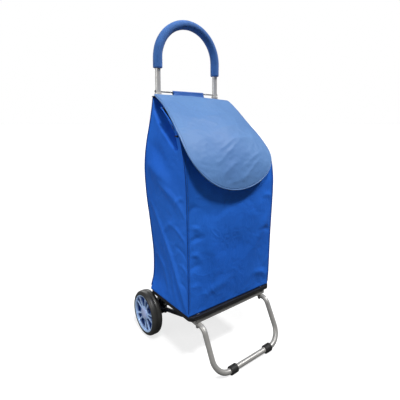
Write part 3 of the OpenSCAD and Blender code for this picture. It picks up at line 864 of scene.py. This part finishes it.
# creases of the cloth: from (across, height), to (across, height), width and height in mm
bagCreases = {
    "left": [
        ((0.12, 0.48), (0.97, 0.01), 10, 6.5), ((0.06, 0.46), (0.86, 0.00), 13, -3.6),
        ((0.04, 0.27), (0.55, 0.03), 10, 3.8), ((0.02, 0.20), (0.36, 0.16), 7, 3.0),
        ((0.04, 0.76), (0.60, 0.66), 22, -6.0), ((0.30, 0.60), (0.85, 0.47), 10, 3.8),
        ((0.55, 0.57), (0.96, 0.45), 7, 3.0), ((0.40, 0.33), (0.80, 0.42), 8, 2.4),
        ((0.60, 0.40), (0.98, 0.33), 6, 2.8), ((0.70, 0.30), (0.98, 0.26), 5, -2.4),
        ((0.06, 0.67), (0.72, 0.56), 20, 7.0), ((0.78, 0.50), (0.99, 0.53), 5, 2.6),
        ((0.80, 0.22), (0.99, 0.19), 5, 2.2), ((0.82, 0.14), (0.99, 0.10), 5, -2.0),
        ((0.45, 0.20), (0.70, 0.04), 8, 2.6), ((0.25, 0.40), (0.36, 0.24), 9, -2.4)],
    "right": [
        ((0.30, 0.60), (0.95, 0.04), 14, 5.2), ((0.15, 0.35), (0.60, 0.12), 14, 3.6),
        ((0.10, 0.72), (0.70, 0.60), 24, -4.6), ((0.60, 0.46), (0.95, 0.30), 10, 2.8),
        ((0.30, 0.20), (0.80, 0.02), 10, 2.6), ((0.75, 0.55), (0.99, 0.50), 6, 2.2)],
    "front": [
        ((0.01, 0.40), (0.12, 0.38), 6, 2.0), ((0.01, 0.335), (0.15, 0.35), 7, -2.2),
        ((0.01, 0.28), (0.13, 0.25), 6, 2.2), ((0.01, 0.21), (0.14, 0.22), 7, -1.6),
        ((0.01, 0.14), (0.16, 0.10), 7, 1.5), ((0.01, 0.47), (0.12, 0.49), 7, -2.4),
        ((0.10, 0.06), (0.45, 0.11), 14, 2.4), ((0.72, 0.20), (0.99, 0.42), 16, 3.2),
        ((0.76, 0.10), (0.98, 0.05), 10, 2.8), ((0.80, 0.32), (0.99, 0.30), 8, -2.0),
        ((0.14, 0.46), (0.30, 0.10), 22, 3.0), ((0.55, 0.50), (0.98, 0.58), 22, 2.6),
        ((0.30, 0.30), (0.70, 0.24), 30, -2.2), ((0.86, 0.50), (0.99, 0.47), 8, 2.2)],
    "back": [
        ((0.10, 0.80), (0.45, 0.60), 16, 1.6), ((0.55, 0.50), (0.90, 0.30), 16, 1.6)],
}
panelWidth = {"left": 0.19, "right": 0.19, "front": 0.3, "back": 0.3}
creaseTail, creaseBow = 0.25, 8 * mm


def creaseHeight(panel, across, high):
    total = 0.0
    x, z = across * panelWidth[panel], high * bagHeight
    for a, b, width, height in bagCreases[panel]:
        ax, az = a[0] * panelWidth[panel], a[1] * bagHeight
        bx, bz = b[0] * panelWidth[panel], b[1] * bagHeight
        run = (bx - ax) ** 2 + (bz - az) ** 2
        t = ((x - ax) * (bx - ax) + (z - az) * (bz - az)) / run
        if t < -creaseTail or t > 1 + creaseTail:
            continue
        # the line bows a little, as a hanging fold does
        bow = creaseBow * math.sin(math.pi * clamp(t))
        off = ((x - ax) * (bz - az) - (z - az) * (bx - ax)) / math.sqrt(run) + bow
        peak = height * mm * math.exp(-((off / (width * mm)) ** 2))
        total += peak * hump(t, -creaseTail, 0.5, 1 + creaseTail)
    return total


# fades creases out at a panel's edges
def edgeFade(panel, across, high):
    before, after, above = bag["fade"][panel]
    return ease(across, 0, before) * ease(1 - across, 0, after) * ease(high, 0, above)


def seamFront(side, high):
    return backY - stationValue(bag["depthLeft"] if side < 0 else bag["depthRight"], high)


def frontY(x, high):
    across = clamp((x / bag["halfWidth"] + 1) / 2)
    seam = mix(seamFront(-1, high), seamFront(1, high), across)
    swell = stationValue(bag["frontSwell"], high) * (1 - (2 * across - 1) ** 4)
    y = seam - swell
    limit = flapYAtHeight(x, bagFloor + high * bagHeight) + bag["underFlap"]
    return max(y, limit)


def sidePoint(side, across, high):
    name = "left" if side < 0 else "right"
    y = mix(backY - 1 * mm, frontYAtSeam(side, high), across)
    half = mix(stationValue(bag["backHalf"], high), bag["halfWidth"] + 1 * mm, ease(across))
    half += stationValue(bag["sideSwell"], high) * math.sin(math.pi * across)
    peak = bag["gussetAt"]
    # the gusset turns in along a slanting crease and comes out sharply behind the front seam
    rise = clamp((high - bag["gussetFrom"]) / (bag["gussetTo"] - bag["gussetFrom"]))
    crease = mix(bag["gussetEnd"], bag["gussetBack"], rise)
    depth = max(0.0, min(across, peak) - crease) * panelWidth[name] * bag["gussetSlope"]
    depth *= ease(depth, 0.0, bag["gussetSoft"])
    depth = bag["gussetDepth"] * (1 - math.exp(-depth / bag["gussetDepth"]))
    if across > peak:
        back = clamp((bag["gussetEnd"] - across) / (bag["gussetEnd"] - peak))
        depth *= back ** bag["gussetPower"]
    half -= depth
    folds = creaseHeight(name, across, high)
    folds += rippleSum(bag["ripples"]["side"], across, high * bagHeight, side)
    return side * (half + folds * edgeFade("side", across, high)), y


def frontYAtSeam(side, high):
    return frontY(side * bag["halfWidth"], high)


def frontPoint(across, high):
    x = mix(-1, 1, across) * (bag["halfWidth"] + 1 * mm)
    z = high * bagHeight
    out = creaseHeight("front", across, high) + rippleSum(bag["ripples"]["front"], across, z)
    y = frontY(clamp(x, -bag["halfWidth"], bag["halfWidth"]), high)
    y -= out * edgeFade("front", across, high)
    limit = flapYAtHeight(x, bagFloor + z) + bag["underFlap"] * 0.6
    return x, max(y, limit)


def backPoint(across, high):
    half = stationValue(bag["backHalf"], high)
    x = mix(half, -half, across)
    z = high * bagHeight
    hollow = 1.2 * mm * math.sin(math.pi * across) * math.sin(math.pi * high)
    wave = rippleSum(bag["ripples"]["back"], across, z) - 0.3 * mm
    return x, backY - 1 * mm - hollow + wave * ease(high, 0, 0.05)


# the shell's columns in order round it: panel, and how far across it
def bagColumnList():
    backs, sides, fronts = (bag["columns"][name] for name in ("back", "side", "front"))
    return ([("back", k / backs) for k in range(backs)]
            + [("left", k / sides) for k in range(sides)]
            + [("front", k / fronts) for k in range(fronts)]
            + [("right", 1 - k / sides) for k in range(sides)])


def panelPoint(panel, across, high):
    if panel == "back":
        x, y = backPoint(across, high)
    elif panel == "front":
        x, y = frontPoint(across, high)
    else:
        x, y = sidePoint(-1 if panel == "left" else 1, across, high)
    return Vector((x, y, bagFloor + high * bagHeight))


# finds the height share at which a column meets the underside of the flap
def columnTop(panel, across):
    if panel == "back":
        right = mix(1, -1, across)
        return 1.0 - max(0.0, right) * flap["seamDrop"] / bagHeight
    if panel == "front":
        x = mix(-1, 1, across) * bag["halfWidth"]
        return (flapPoint(x, bag["mouthShare"], bag["underFlap"]).z - bagFloor) / bagHeight
    low, high = 0.3, 1.0
    for _ in range(22):
        middle = (low + high) / 2
        p = panelPoint(panel, across, middle)
        share = flapShareAtY(p.y)
        if p.z > flapPoint(p.x, share, bag["underFlap"] + 1.5 * mm).z:
            high = middle
        else:
            low = middle
    return low


def buildBag():
    columns = bagColumnList()
    tops = [columnTop(*c) for c in columns]
    # the two front corners share the front panel's mouth height
    corner = bag["columns"]["back"] + bag["columns"]["side"]
    blendOver = 5
    for edge in (corner, corner + bag["columns"]["front"]):
        for k in range(1, blendOver + 1):
            side = edge - k if edge == corner else edge + k
            tops[side] = mix(tops[edge % len(tops)], tops[side], k / (blendOver + 1))
    rows = []
    for j in range(bag["rows"] + 1):
        share = j / bag["rows"]
        rows.append([panelPoint(c[0], c[1], tops[i] * share) for i, c in enumerate(columns)])
    mesh = gridMesh("bag_cloth", rows, closed=True, flip=False)
    made = bmesh.new()
    made.from_mesh(mesh)
    made.verts.ensure_lookup_table()
    ring = [made.verts[i] for i in range(len(columns))]
    bottom = made.faces.new(ring)
    bottom.smooth = True
    bmesh.ops.triangulate(made, faces=[bottom])
    bmesh.ops.recalc_face_normals(made, faces=made.faces)
    # outwards: the front panel's normal points to the front
    made.faces.ensure_lookup_table()
    frontFace = min(made.faces, key=lambda f: f.calc_center_median().y)
    if frontFace.normal.y > 0:
        bmesh.ops.reverse_faces(made, faces=made.faces)
    made.to_mesh(mesh)
    made.free()
    return mesh, tops, columns


bagMesh, bagTops, bagColumns = buildBag()
bagPiece = addObject("bag_cloth", bagMesh, finishes["bag"])
bagMesh.materials.append(finishes["lining"])
wall = bagPiece.modifiers.new("cloth thickness", "SOLIDIFY")
wall.thickness = bag["cloth"]
wall.offset = -1
wall.material_offset = 1
wall.material_offset_rim = 0
madePlain(bagPiece)
settle(bagPiece, "root", "bag_fabric",
       "bag_front", "bag_back", "bag_side_left", "bag_side_right", "bag_bottom")
foldsFlat(bagPiece)


# points up a column of the shell, from one share of its height to another, moved out
def columnPath(index, across, steps, out):
    index %= len(bagColumns)
    panel, at = bagColumns[index]
    if across is not None:
        panel, at = "front", across
    return [panelPoint(panel, at, bagTops[index] * j / 100) + Vector(out) for j in steps]


def onBag(piece):
    return foldsFlat(settle(piece, "root", "bag_fabric"))


# a narrow welt along each vertical seam, a hem round the mouth and two rows of stitches
seams = {"radius": 1.1 * mm, "front": 0.75, "back": 1.6, "hem": 1.5 * mm, "inset": 4.5 * mm,
         "proud": 0.35 * mm}
backLeft = bag["columns"]["back"]
frontLeft = backLeft + bag["columns"]["side"]
frontRight = frontLeft + bag["columns"]["front"]
for label, index, out in (("front_left", frontLeft, (-0.2 * mm, -0.2 * mm, 0)),
                          ("front_right", frontRight, (0.2 * mm, -0.2 * mm, 0)),
                          ("back_left", backLeft, (-0.3 * mm, 0, 0)),
                          ("back_right", 0, (0.3 * mm, 0, 0))):
    girth = seams["radius"] * seams[label.split("_")[0]]
    path = columnPath(index, None, range(2, 101), out)
    onBag(addObject("bag_welt_" + label, tubeMesh("welt", path, girth, sides=10),
                    finishes["binding"]))
rim = [panelPoint(c[0], c[1], bagTops[i]) for i, c in enumerate(bagColumns)]
onBag(addObject("bag_mouth_hem", tubeMesh("hem", rim, seams["hem"], sides=10, closed=True),
                finishes["bag"]))
stitchAcross = seams["inset"] / panelWidth["front"]
for label, index, across in (("left", frontLeft, stitchAcross),
                             ("right", frontRight, 1 - stitchAcross)):
    path = columnPath(index, across, range(3, 100), (0, -seams["proud"], 0))
    onBag(stitches("bag_stitches_" + label, path))
print("bag made")


# ---- hanging loop on the crossbar ----

loopLow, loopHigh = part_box("hanging_loop")
barLow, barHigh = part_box("crossbar")
barZ = (barLow.z + barHigh.z) / 2
loop = {
    "half": (loopHigh.x - loopLow.x) / 2,
    "radius": 4.0 * mm,
    "drop": 25 * mm,
    "cloth": 1.3 * mm,
    "turnFrom": math.radians(200),
    "turnTo": math.radians(-60),
    "turnSteps": 14,
    "columns": 40,
    "wave": 0.35 * mm,
    "behind": {"start": 0.7 * mm, "middle": 2.4 * mm, "end": 1.2 * mm},
}


# one strip from the bag's back up over the bar and down again
def buildLoop():
    behind, radius, drop = loop["behind"], loop["radius"], loop["drop"]
    start = Vector((0, backY + behind["start"], bagTop - drop * 0.5))
    line = [start, start.lerp(Vector((0, axleY - radius, barZ - 3 * mm)), 0.5)]
    for k in range(loop["turnSteps"] + 1):
        a = mix(loop["turnFrom"], loop["turnTo"], k / loop["turnSteps"])
        line.append(Vector((0, axleY + radius * math.cos(a), barZ + radius * math.sin(a))))
    line.append(Vector((0, backY + behind["middle"], bagTop - drop * 0.25)))
    line.append(Vector((0, backY + behind["end"], bagTop - drop)))
    rows = []
    for p in line:
        row = []
        for k in range(loop["columns"] + 1):
            x = mix(-loop["half"], loop["half"], k / loop["columns"])
            wave = loop["wave"] * noise.noise(Vector((x * 40, p.y * 60, p.z * 60)))
            row.append(Vector((x, p.y + wave, p.z + wave)))
        rows.append(row)
    return gridMesh("loop_cloth", rows)


loopPiece = addObject("loop_cloth", buildLoop(), finishes["loop"])
smoother = loopPiece.modifiers.new("rounding", "SUBSURF")
smoother.levels = 1
smoother.render_levels = 1
wall = loopPiece.modifiers.new("cloth thickness", "SOLIDIFY")
wall.thickness = loop["cloth"]
wall.offset = 0
settle(loopPiece, "root", "bag_fabric", "hanging_loop")
print("loop made")


# ---- rods and board ----

rods = {
    # heights of the left and the right end, distance ahead of the back, shortening of each end
    "mouth_rod": (bagFloor + 0.806 * bagHeight, bagFloor + 0.755 * bagHeight, 151 * mm, -6 * mm),
    "back_rod": (bagTop - 4.5 * mm, bagTop - 10.5 * mm, 6.5 * mm, 13 * mm),
}
rodSteps, rodTip = 60, 0.012
for rodName, (leftZ, rightZ, ahead, inset) in rods.items():
    rodLow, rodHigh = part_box(rodName)
    rodR = (rodHigh.z - rodLow.z) / 2
    path = [Vector((mix(rodLow.x + inset, rodHigh.x - inset, k / rodSteps), backY - ahead,
                    mix(leftZ, rightZ, k / rodSteps))) for k in range(rodSteps + 1)]

    def rodRadius(share, r=rodR):
        edge = min(share, 1 - share)
        return r * (0.55 + 0.45 * math.sqrt(clamp(edge / rodTip))) if edge < rodTip else r

    rod = addObject(rodName + "_round", tubeMesh(rodName, path, rodRadius),
                    finishes["blackPlastic"])
    foldsFlat(settle(rod, "root", "black_plastic", rodName))
foldsFlat(softened("bottom_board", 0.8 * mm, finishes["board"], "root", "board"))
print("rods and board made")


# ---- grip ----

grip = {"sides": 56, "straightSteps": 24, "bowSteps": 96, "endRound": 2.2 * mm,
        "wave": 0.35 * mm, "girth": 0.95, "leftEnd": 4.5 * mm, "rightEnd": -3.0 * mm}


def buildGrip():
    low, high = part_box("handle_grip")
    outer = (high.y - low.y) / 2
    bend = (high.x - low.x) / 2 - outer
    middleY = (low.y + high.y) / 2
    bowZ = high.z - outer - bend
    straight, bow = grip["straightSteps"], grip["bowSteps"]
    path = []
    for k in range(straight + 1):
        path.append(Vector((-bend, middleY, mix(low.z + grip["leftEnd"], bowZ, k / straight))))
    for k in range(1, bow + 1):
        a = math.pi * (1 - k / bow)
        path.append(Vector((bend * math.cos(a), middleY, bowZ + bend * math.sin(a))))
    for k in range(1, straight + 1):
        path.append(Vector((bend, middleY, mix(bowZ, low.z + grip["rightEnd"], k / straight))))
    lengths = runningLengths(path)

    def radius(share):
        at = lengths[round(share * (len(path) - 1))]
        fromEnd = min(at, lengths[-1] - at)
        r = outer * grip["girth"]
        if fromEnd < grip["endRound"]:
            t = 1 - fromEnd / grip["endRound"]
            r -= grip["endRound"] * (1 - math.sqrt(max(0.0, 1 - t * t)))
        return r + grip["wave"] * noise.noise(Vector((at * 30, 0.5, 0.1))) - grip["wave"]

    return tubeMesh("grip_foam", path, radius, sides=grip["sides"])


gripPiece = addObject("grip_foam", buildGrip(), finishes["foam"])
settle(gripPiece, "root", "foam_grip", "handle_grip")
print("grip made")


# ---- wheels ----

wheel = {
    "in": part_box("tyre_right")[0].x,
    "out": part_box("tyre_right")[1].x,
    "outer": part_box("tyre_right")[1].z - axleZ,
    "rim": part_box("wheel_rim_right")[1].z - axleZ,
    "rimWall": 4 * mm,
    "lip": 1 * mm,
    "edge": 1.2 * mm,
    "hub": 21 * mm,
    "hubIn": 135.6 * mm,
    "hubBack": 4 * mm,
    "bore": 8 * mm,
    "recess": 11 * mm,
    "recessDepth": 8 * mm,
    "webBack": 15 * mm,
    "web": 3 * mm,
    "webEdge": 0.4 * mm,
}
# the spokes taper outwards to their face and widen towards the rim
spoke = {
    "pairs": 5,
    "firstAngle": 108,
    "pairTurn": 13,
    "width": 5.4 * mm,
    "back": 16.5 * mm,
    "face": 5 * mm,
    "backGrow": 1.15,
    "faceGrow": 0.9,
    "hubGrow": 0.85,
    "rimGrow": 1.2,
    "bevel": 1.0 * mm,
    # where the wheel's painted shade starts below the spoke faces and how far in it deepens
    "paintedShadeFrom": 0.5 * mm,
    "paintedShadeOver": 7 * mm,
}
cap = {"radius": 15.5 * mm, "dome": 3.2 * mm * 0.75, "gap": 0.3 * mm, "edge": 0.8 * mm, "steps": 12,
       "segments": 64}
# round shoulders and two fine mould lines
tyre = {"shoulder": 10 * mm, "seat": 0.1 * mm, "groove": 0.35 * mm, "steps": 12, "segments": 128,
        "lines": (0.32, 0.48, 0.494, 0.506, 0.52, 0.68), "grooved": (0.494, 0.506)}


def spokeMesh(side):
    lip = wheel["lip"]
    ends = ((wheel["hub"] - 2 * lip, spoke["hubGrow"]),
            (wheel["rim"] - wheel["rimWall"] + lip, spoke["rimGrow"]))
    made = bmesh.new()
    for back, grow in ((spoke["back"], spoke["backGrow"]), (spoke["face"], spoke["faceGrow"])):
        for radius, widen in ends:
            for sign in (-1, 1):
                made.verts.new((side * (wheel["out"] - back), radius,
                                sign * spoke["width"] / 2 * widen * grow))
    bmesh.ops.convex_hull(made, input=made.verts)
    bmesh.ops.dissolve_limit(made, angle_limit=0.01, verts=made.verts, edges=made.edges)
    bmesh.ops.recalc_face_normals(made, faces=made.faces)
    bmesh.ops.bevel(made, geom=list(made.edges), offset=spoke["bevel"], segments=2,
                    affect="EDGES", profile=0.6)
    return meshFrom(made, "spoke")


# rim, hub and web as turned rings
def wheelRings(side):
    lip, bore, hub, recess = (wheel[name] for name in ("lip", "bore", "hub", "recess"))
    inside, outside, hubIn = wheel["in"], wheel["out"], wheel["hubIn"]
    hubOut, webX = outside - wheel["hubBack"], outside - wheel["webBack"]
    rimOuter, rimInner = wheel["rim"], wheel["rim"] - wheel["rimWall"]
    floorX, webIn = hubOut - wheel["recessDepth"], webX - wheel["web"]
    outlines = {
        "rim": ([(rimOuter, inside + lip), (rimOuter, outside - lip),
                 (rimInner - lip, outside - 2 * lip), (rimInner, webX + lip),
                 (rimInner, inside + lip)], wheel["edge"]),
        "hub": ([(bore, hubIn), (hub - 3 * lip, hubIn), (hub, webX), (hub - lip, hubOut),
                 (recess, hubOut), (recess, floorX), (bore, floorX)], wheel["edge"]),
        "web": ([(hub - 2 * lip, webIn), (rimInner + lip, webIn), (rimInner + lip, webX),
                 (hub - 2 * lip, webX)], wheel["webEdge"]),
    }
    return [turnedMesh(name, roundedOutline(points, edge), side)
            for name, (points, edge) in outlines.items()]


def capOutline():
    base = wheel["out"] - wheel["hubBack"] + cap["gap"]
    radius, edge = cap["radius"], base + cap["edge"]
    outline = [Vector((0, base)), Vector((radius, base)), Vector((radius, edge))]
    for k in range(1, cap["steps"] + 1):
        a = math.pi / 2 * k / cap["steps"]
        away = radius * math.cos(a) if k < cap["steps"] else 0.0
        outline.append(Vector((away, edge + cap["dome"] * math.sin(a))))
    return outline


def tyreOutline():
    inside, outside, shoulder = wheel["in"], wheel["out"], tyre["shoulder"]
    low, seat = wheel["outer"] - shoulder, wheel["rim"] + tyre["seat"]
    arc = [math.pi / 2 * k / tyre["steps"] for k in range(1, tyre["steps"])]
    outline = [(seat, inside), (low, inside)]
    outline += [(low + shoulder * math.sin(a), inside + shoulder - shoulder * math.cos(a))
                for a in arc]
    for share in tyre["lines"]:
        groove = tyre["groove"] if share in tyre["grooved"] else 0.0
        outline.append((wheel["outer"] - groove, inside + (outside - inside) * share))
    outline += [(low + shoulder * math.sin(a), outside - shoulder + shoulder * math.cos(a))
                for a in reversed(arc)]
    return [Vector(p) for p in outline + [(low, outside), (seat, outside)]]


# the wheel plastic, with painted shade in its recesses
finishes["wheel"] = wheelMaterial("wheelPlasticPaintedShade", (0.46, 0.65, 0.97), (0.022, 0.08, 0.33),
                                  wheel["out"] - spoke["face"] - spoke["paintedShadeFrom"],
                                  spoke["paintedShadeOver"])

for label, side in (("left", -1), ("right", 1)):
    body = "wheel_" + label
    parts = wheelRings(side)
    spokes = addObject("spokes", spokeMesh(side))
    runTree(spokes, spokeTree, {
        "Pairs": spoke["pairs"], "First angle": math.radians(spoke["firstAngle"]),
        "Pair turn": math.radians(spoke["pairTurn"]), "Centre": (0.0, axleY, axleZ),
        "Material": finishes["wheel"]})
    made = bmesh.new()
    for mesh in parts + [spokes.data]:
        made.from_mesh(mesh)
    for face in made.faces:
        face.material_index = 0
    rimPiece = addObject("wheel_face_" + label, meshFrom(made, "wheel_face"), finishes["wheel"])
    bpy.data.objects.remove(spokes)
    settle(rimPiece, body, "wheel_plastic", "wheel_rim_" + label)
    capMesh = turnedMesh("cap", capOutline(), side, cap["segments"])
    settle(addObject("hub_cap_dome_" + label, capMesh, finishes["cap"]),
           body, "cap_plastic", "hub_cap_" + label)
    tyreMesh = turnedMesh("tyre", tyreOutline(), side, tyre["segments"])
    settle(addObject("tyre_round_" + label, tyreMesh, finishes["tyre"]),
           body, "tyre_grey", "tyre_" + label)
print("wheels made")


# ---- feet ----

foot = {"ribs": 6, "ribWidth": 2.6 * mm, "ribProud": 0.9 * mm, "wall": 3.0 * mm, "edge": 0.8 * mm,
        "segments": 64}
for label in ("left", "right"):
    low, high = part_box("foot_" + label)
    radius = (high.y - low.y) / 2
    middle = Vector((0, (low.y + high.y) / 2, low.z + radius))
    length = high.x - low.x
    sleeveR, halfRib = radius - foot["ribProud"], foot["ribWidth"] / 2
    bore = radius - foot["wall"] - foot["ribProud"]
    outline = roundedOutline([(bore, low.x), (sleeveR, low.x), (sleeveR, high.x), (bore, high.x)],
                             foot["edge"])
    sleeve = addObject("foot_ribbed_" + label,
                       turnedMesh("foot", outline, 1, foot["segments"], middle), finishes["rubber"])
    runTree(sleeve, ribTree, {
        "Ribs": foot["ribs"], "Pitch": (length - foot["ribWidth"]) / (foot["ribs"] - 1),
        "Radius": radius - halfRib, "Rib width": foot["ribWidth"],
        "Start": (low.x + halfRib, middle.y, middle.z), "Material": finishes["rubber"]})
    settle(sleeve, "base", "black_rubber", "foot_" + label)
print("feet made")


# ---- carried-over parts with softened edges ----

rounded = {
    "platform": (1.0 * mm, "blackPlastic", "base", "platform_plastic"),
    "front_rail": (0.5 * mm, "greyPaint", "base", "grey_steel"),
    "rear_rail": (0.5 * mm, "greyPaint", "base", "grey_steel"),
}
for label in ("left", "right"):
    rounded["axle_bracket_" + label] = (0.6 * mm, "blackPlastic", "root", "black_plastic")
    rounded["hinge_bracket_" + label] = (0.6 * mm, "blackPlastic", "root", "black_plastic")
    rounded["support_arm_" + label] = (0.5 * mm, "blackPaint", "root", "black_steel")
    rounded["rest_pad_" + label] = (0.5 * mm, "rubber", "root", "black_rubber")
    rounded["collar_" + label] = (0.5 * mm, "silver", "root", "black_plastic")
for node, (width, finish, body, slot) in rounded.items():
    softened(node, width, finishes[finish], body, slot)

plain = {
    "silver": ["frame_tube"],
    # the leg loop takes the darker copy of the silver paint, painted shade
    "silverPaintShaded": ["leg_loop"],
    "nylon": ["wheel_bush_left", "wheel_bush_right"],
    "blackPlastic": ["tube_plugs"],
    "zinc": ["crossbar", "axle", "arm_rivets", "hinge_pins", "axle_washers", "push_nuts",
             "base_bolts", "base_nuts"],
}
for finish, names in plain.items():
    for node in names:
        nodes[node].data.materials.clear()
        nodes[node].data.materials.append(finishes[finish])
print("metal parts finished")


# ---- floor, light and camera ----

floorLook = {"shown": 0.38, "cloud": 0.03, "bounced": 0.12, "glow": 0.74, "reach": 60.0}


# the floor looks pale but throws little light back up
def floorMaterial():
    material, tree, shader, place = startMaterial("paleFloor")
    cloud = noiseNode(tree, place.outputs["Object"], 2.0, 2.0)
    seen = newNode(tree, "ShaderNodeLightPath").outputs["Is Camera Ray"]
    shown = floorLook["shown"]
    pale = mixColour(tree, cloud, (shown - floorLook["cloud"],) * 3, (shown,) * 3)
    fill(tree, shader, {
        "Base Color": mixColour(tree, seen, (floorLook["bounced"],) * 3, pale),
        "Roughness": 0.9,
        "Specular IOR Level": 0.0,
        "Emission Color": (1, 1, 1, 1),
        "Emission Strength": rangeNode(tree, seen, 0, 1, 0, floorLook["glow"])})
    return material


floorMesh = bpy.data.meshes.new("floor")
corners = [(x * floorLook["reach"], y * floorLook["reach"], 0)
           for x, y in ((-1, -1), (1, -1), (1, 1), (-1, 1))]
floorMesh.from_pydata(corners, [], [(0, 1, 2, 3)])
floor = addObject("floor", floorMesh, floorMaterial(), smooth=False)


def addLamp(name, kind, towards, power, place=(0, 0, 0), **settings):
    lamp = bpy.data.lights.new(name, kind)
    lamp.energy = power
    for key, value in settings.items():
        setattr(lamp, key, value)
    holder = bpy.data.objects.new(name, lamp)
    bpy.context.scene.collection.objects.link(holder)
    holder.location = place
    holder.rotation_euler = towards.to_track_quat("-Z", "Y").to_euler()


# an even room: white to look at, dimmer as a light
def paleWorld(seen, lighting):
    world = bpy.data.worlds.new("paleRoom")
    world.use_nodes = True
    tree = world.node_tree
    isSeen = newNode(tree, "ShaderNodeLightPath").outputs["Is Camera Ray"]
    fill(tree, tree.nodes["Background"], {
        "Color": (1, 1, 1, 1), "Strength": rangeNode(tree, isSeen, 0, 1, lighting, seen)})
    return world


studio = {
    # direction of the light, power, softness in degrees
    "suns": {"rightSun": ((-0.55, 0.36, -0.9), 2.3, 9), "frontSun": ((0.22, 0.62, -1.3), 1.75, 9),
             "sideSun": ((1.0, -0.08, -0.35), 1.1, 30), "topSun": ((0.12, 0.10, -1.0), 0.2, 40)},
    # place, power, size
    "panels": {"leftSoft": ((-1.5, -0.75, 1.75), 2, 0.7), "backSoft": ((0.5, 2.3, 1.3), 22, 1.6)},
    "aim": Vector((0, 0, 0.42)),
    "seen": 1.0,
    "room": 0.07,
}
for name, (towards, power, softness) in studio["suns"].items():
    addLamp(name, "SUN", Vector(towards), power, angle=math.radians(softness))
for name, (place, power, size) in studio["panels"].items():
    addLamp(name, "AREA", studio["aim"] - Vector(place), power, place, shape="SQUARE", size=size)
bpy.context.scene.world = paleWorld(studio["seen"], studio["room"])
bpy.context.scene.view_settings.view_transform = "Standard"

view = {
    "place": Vector((-622.2, -862.9, 648.2)) * mm,
    "aim": Vector((47.7, 0, 529.0)) * mm,
    "lens": 29.92,
    "sensor": 36.0,
    "shift": -0.105,
}
lensData = bpy.data.cameras.new("camera")
camera = bpy.data.objects.new("camera", lensData)
bpy.context.scene.collection.objects.link(camera)
offset = Vector((0, axleY, 0))
camera.location = view["place"] + offset
camera.rotation_euler = (view["aim"] - view["place"]).to_track_quat("-Z", "Y").to_euler()
lensData.lens = view["lens"]
lensData.sensor_width = view["sensor"]
lensData.shift_y = view["shift"]
lensData.clip_start = 0.01
bpy.context.scene.camera = camera

bpy.context.view_layer.update()
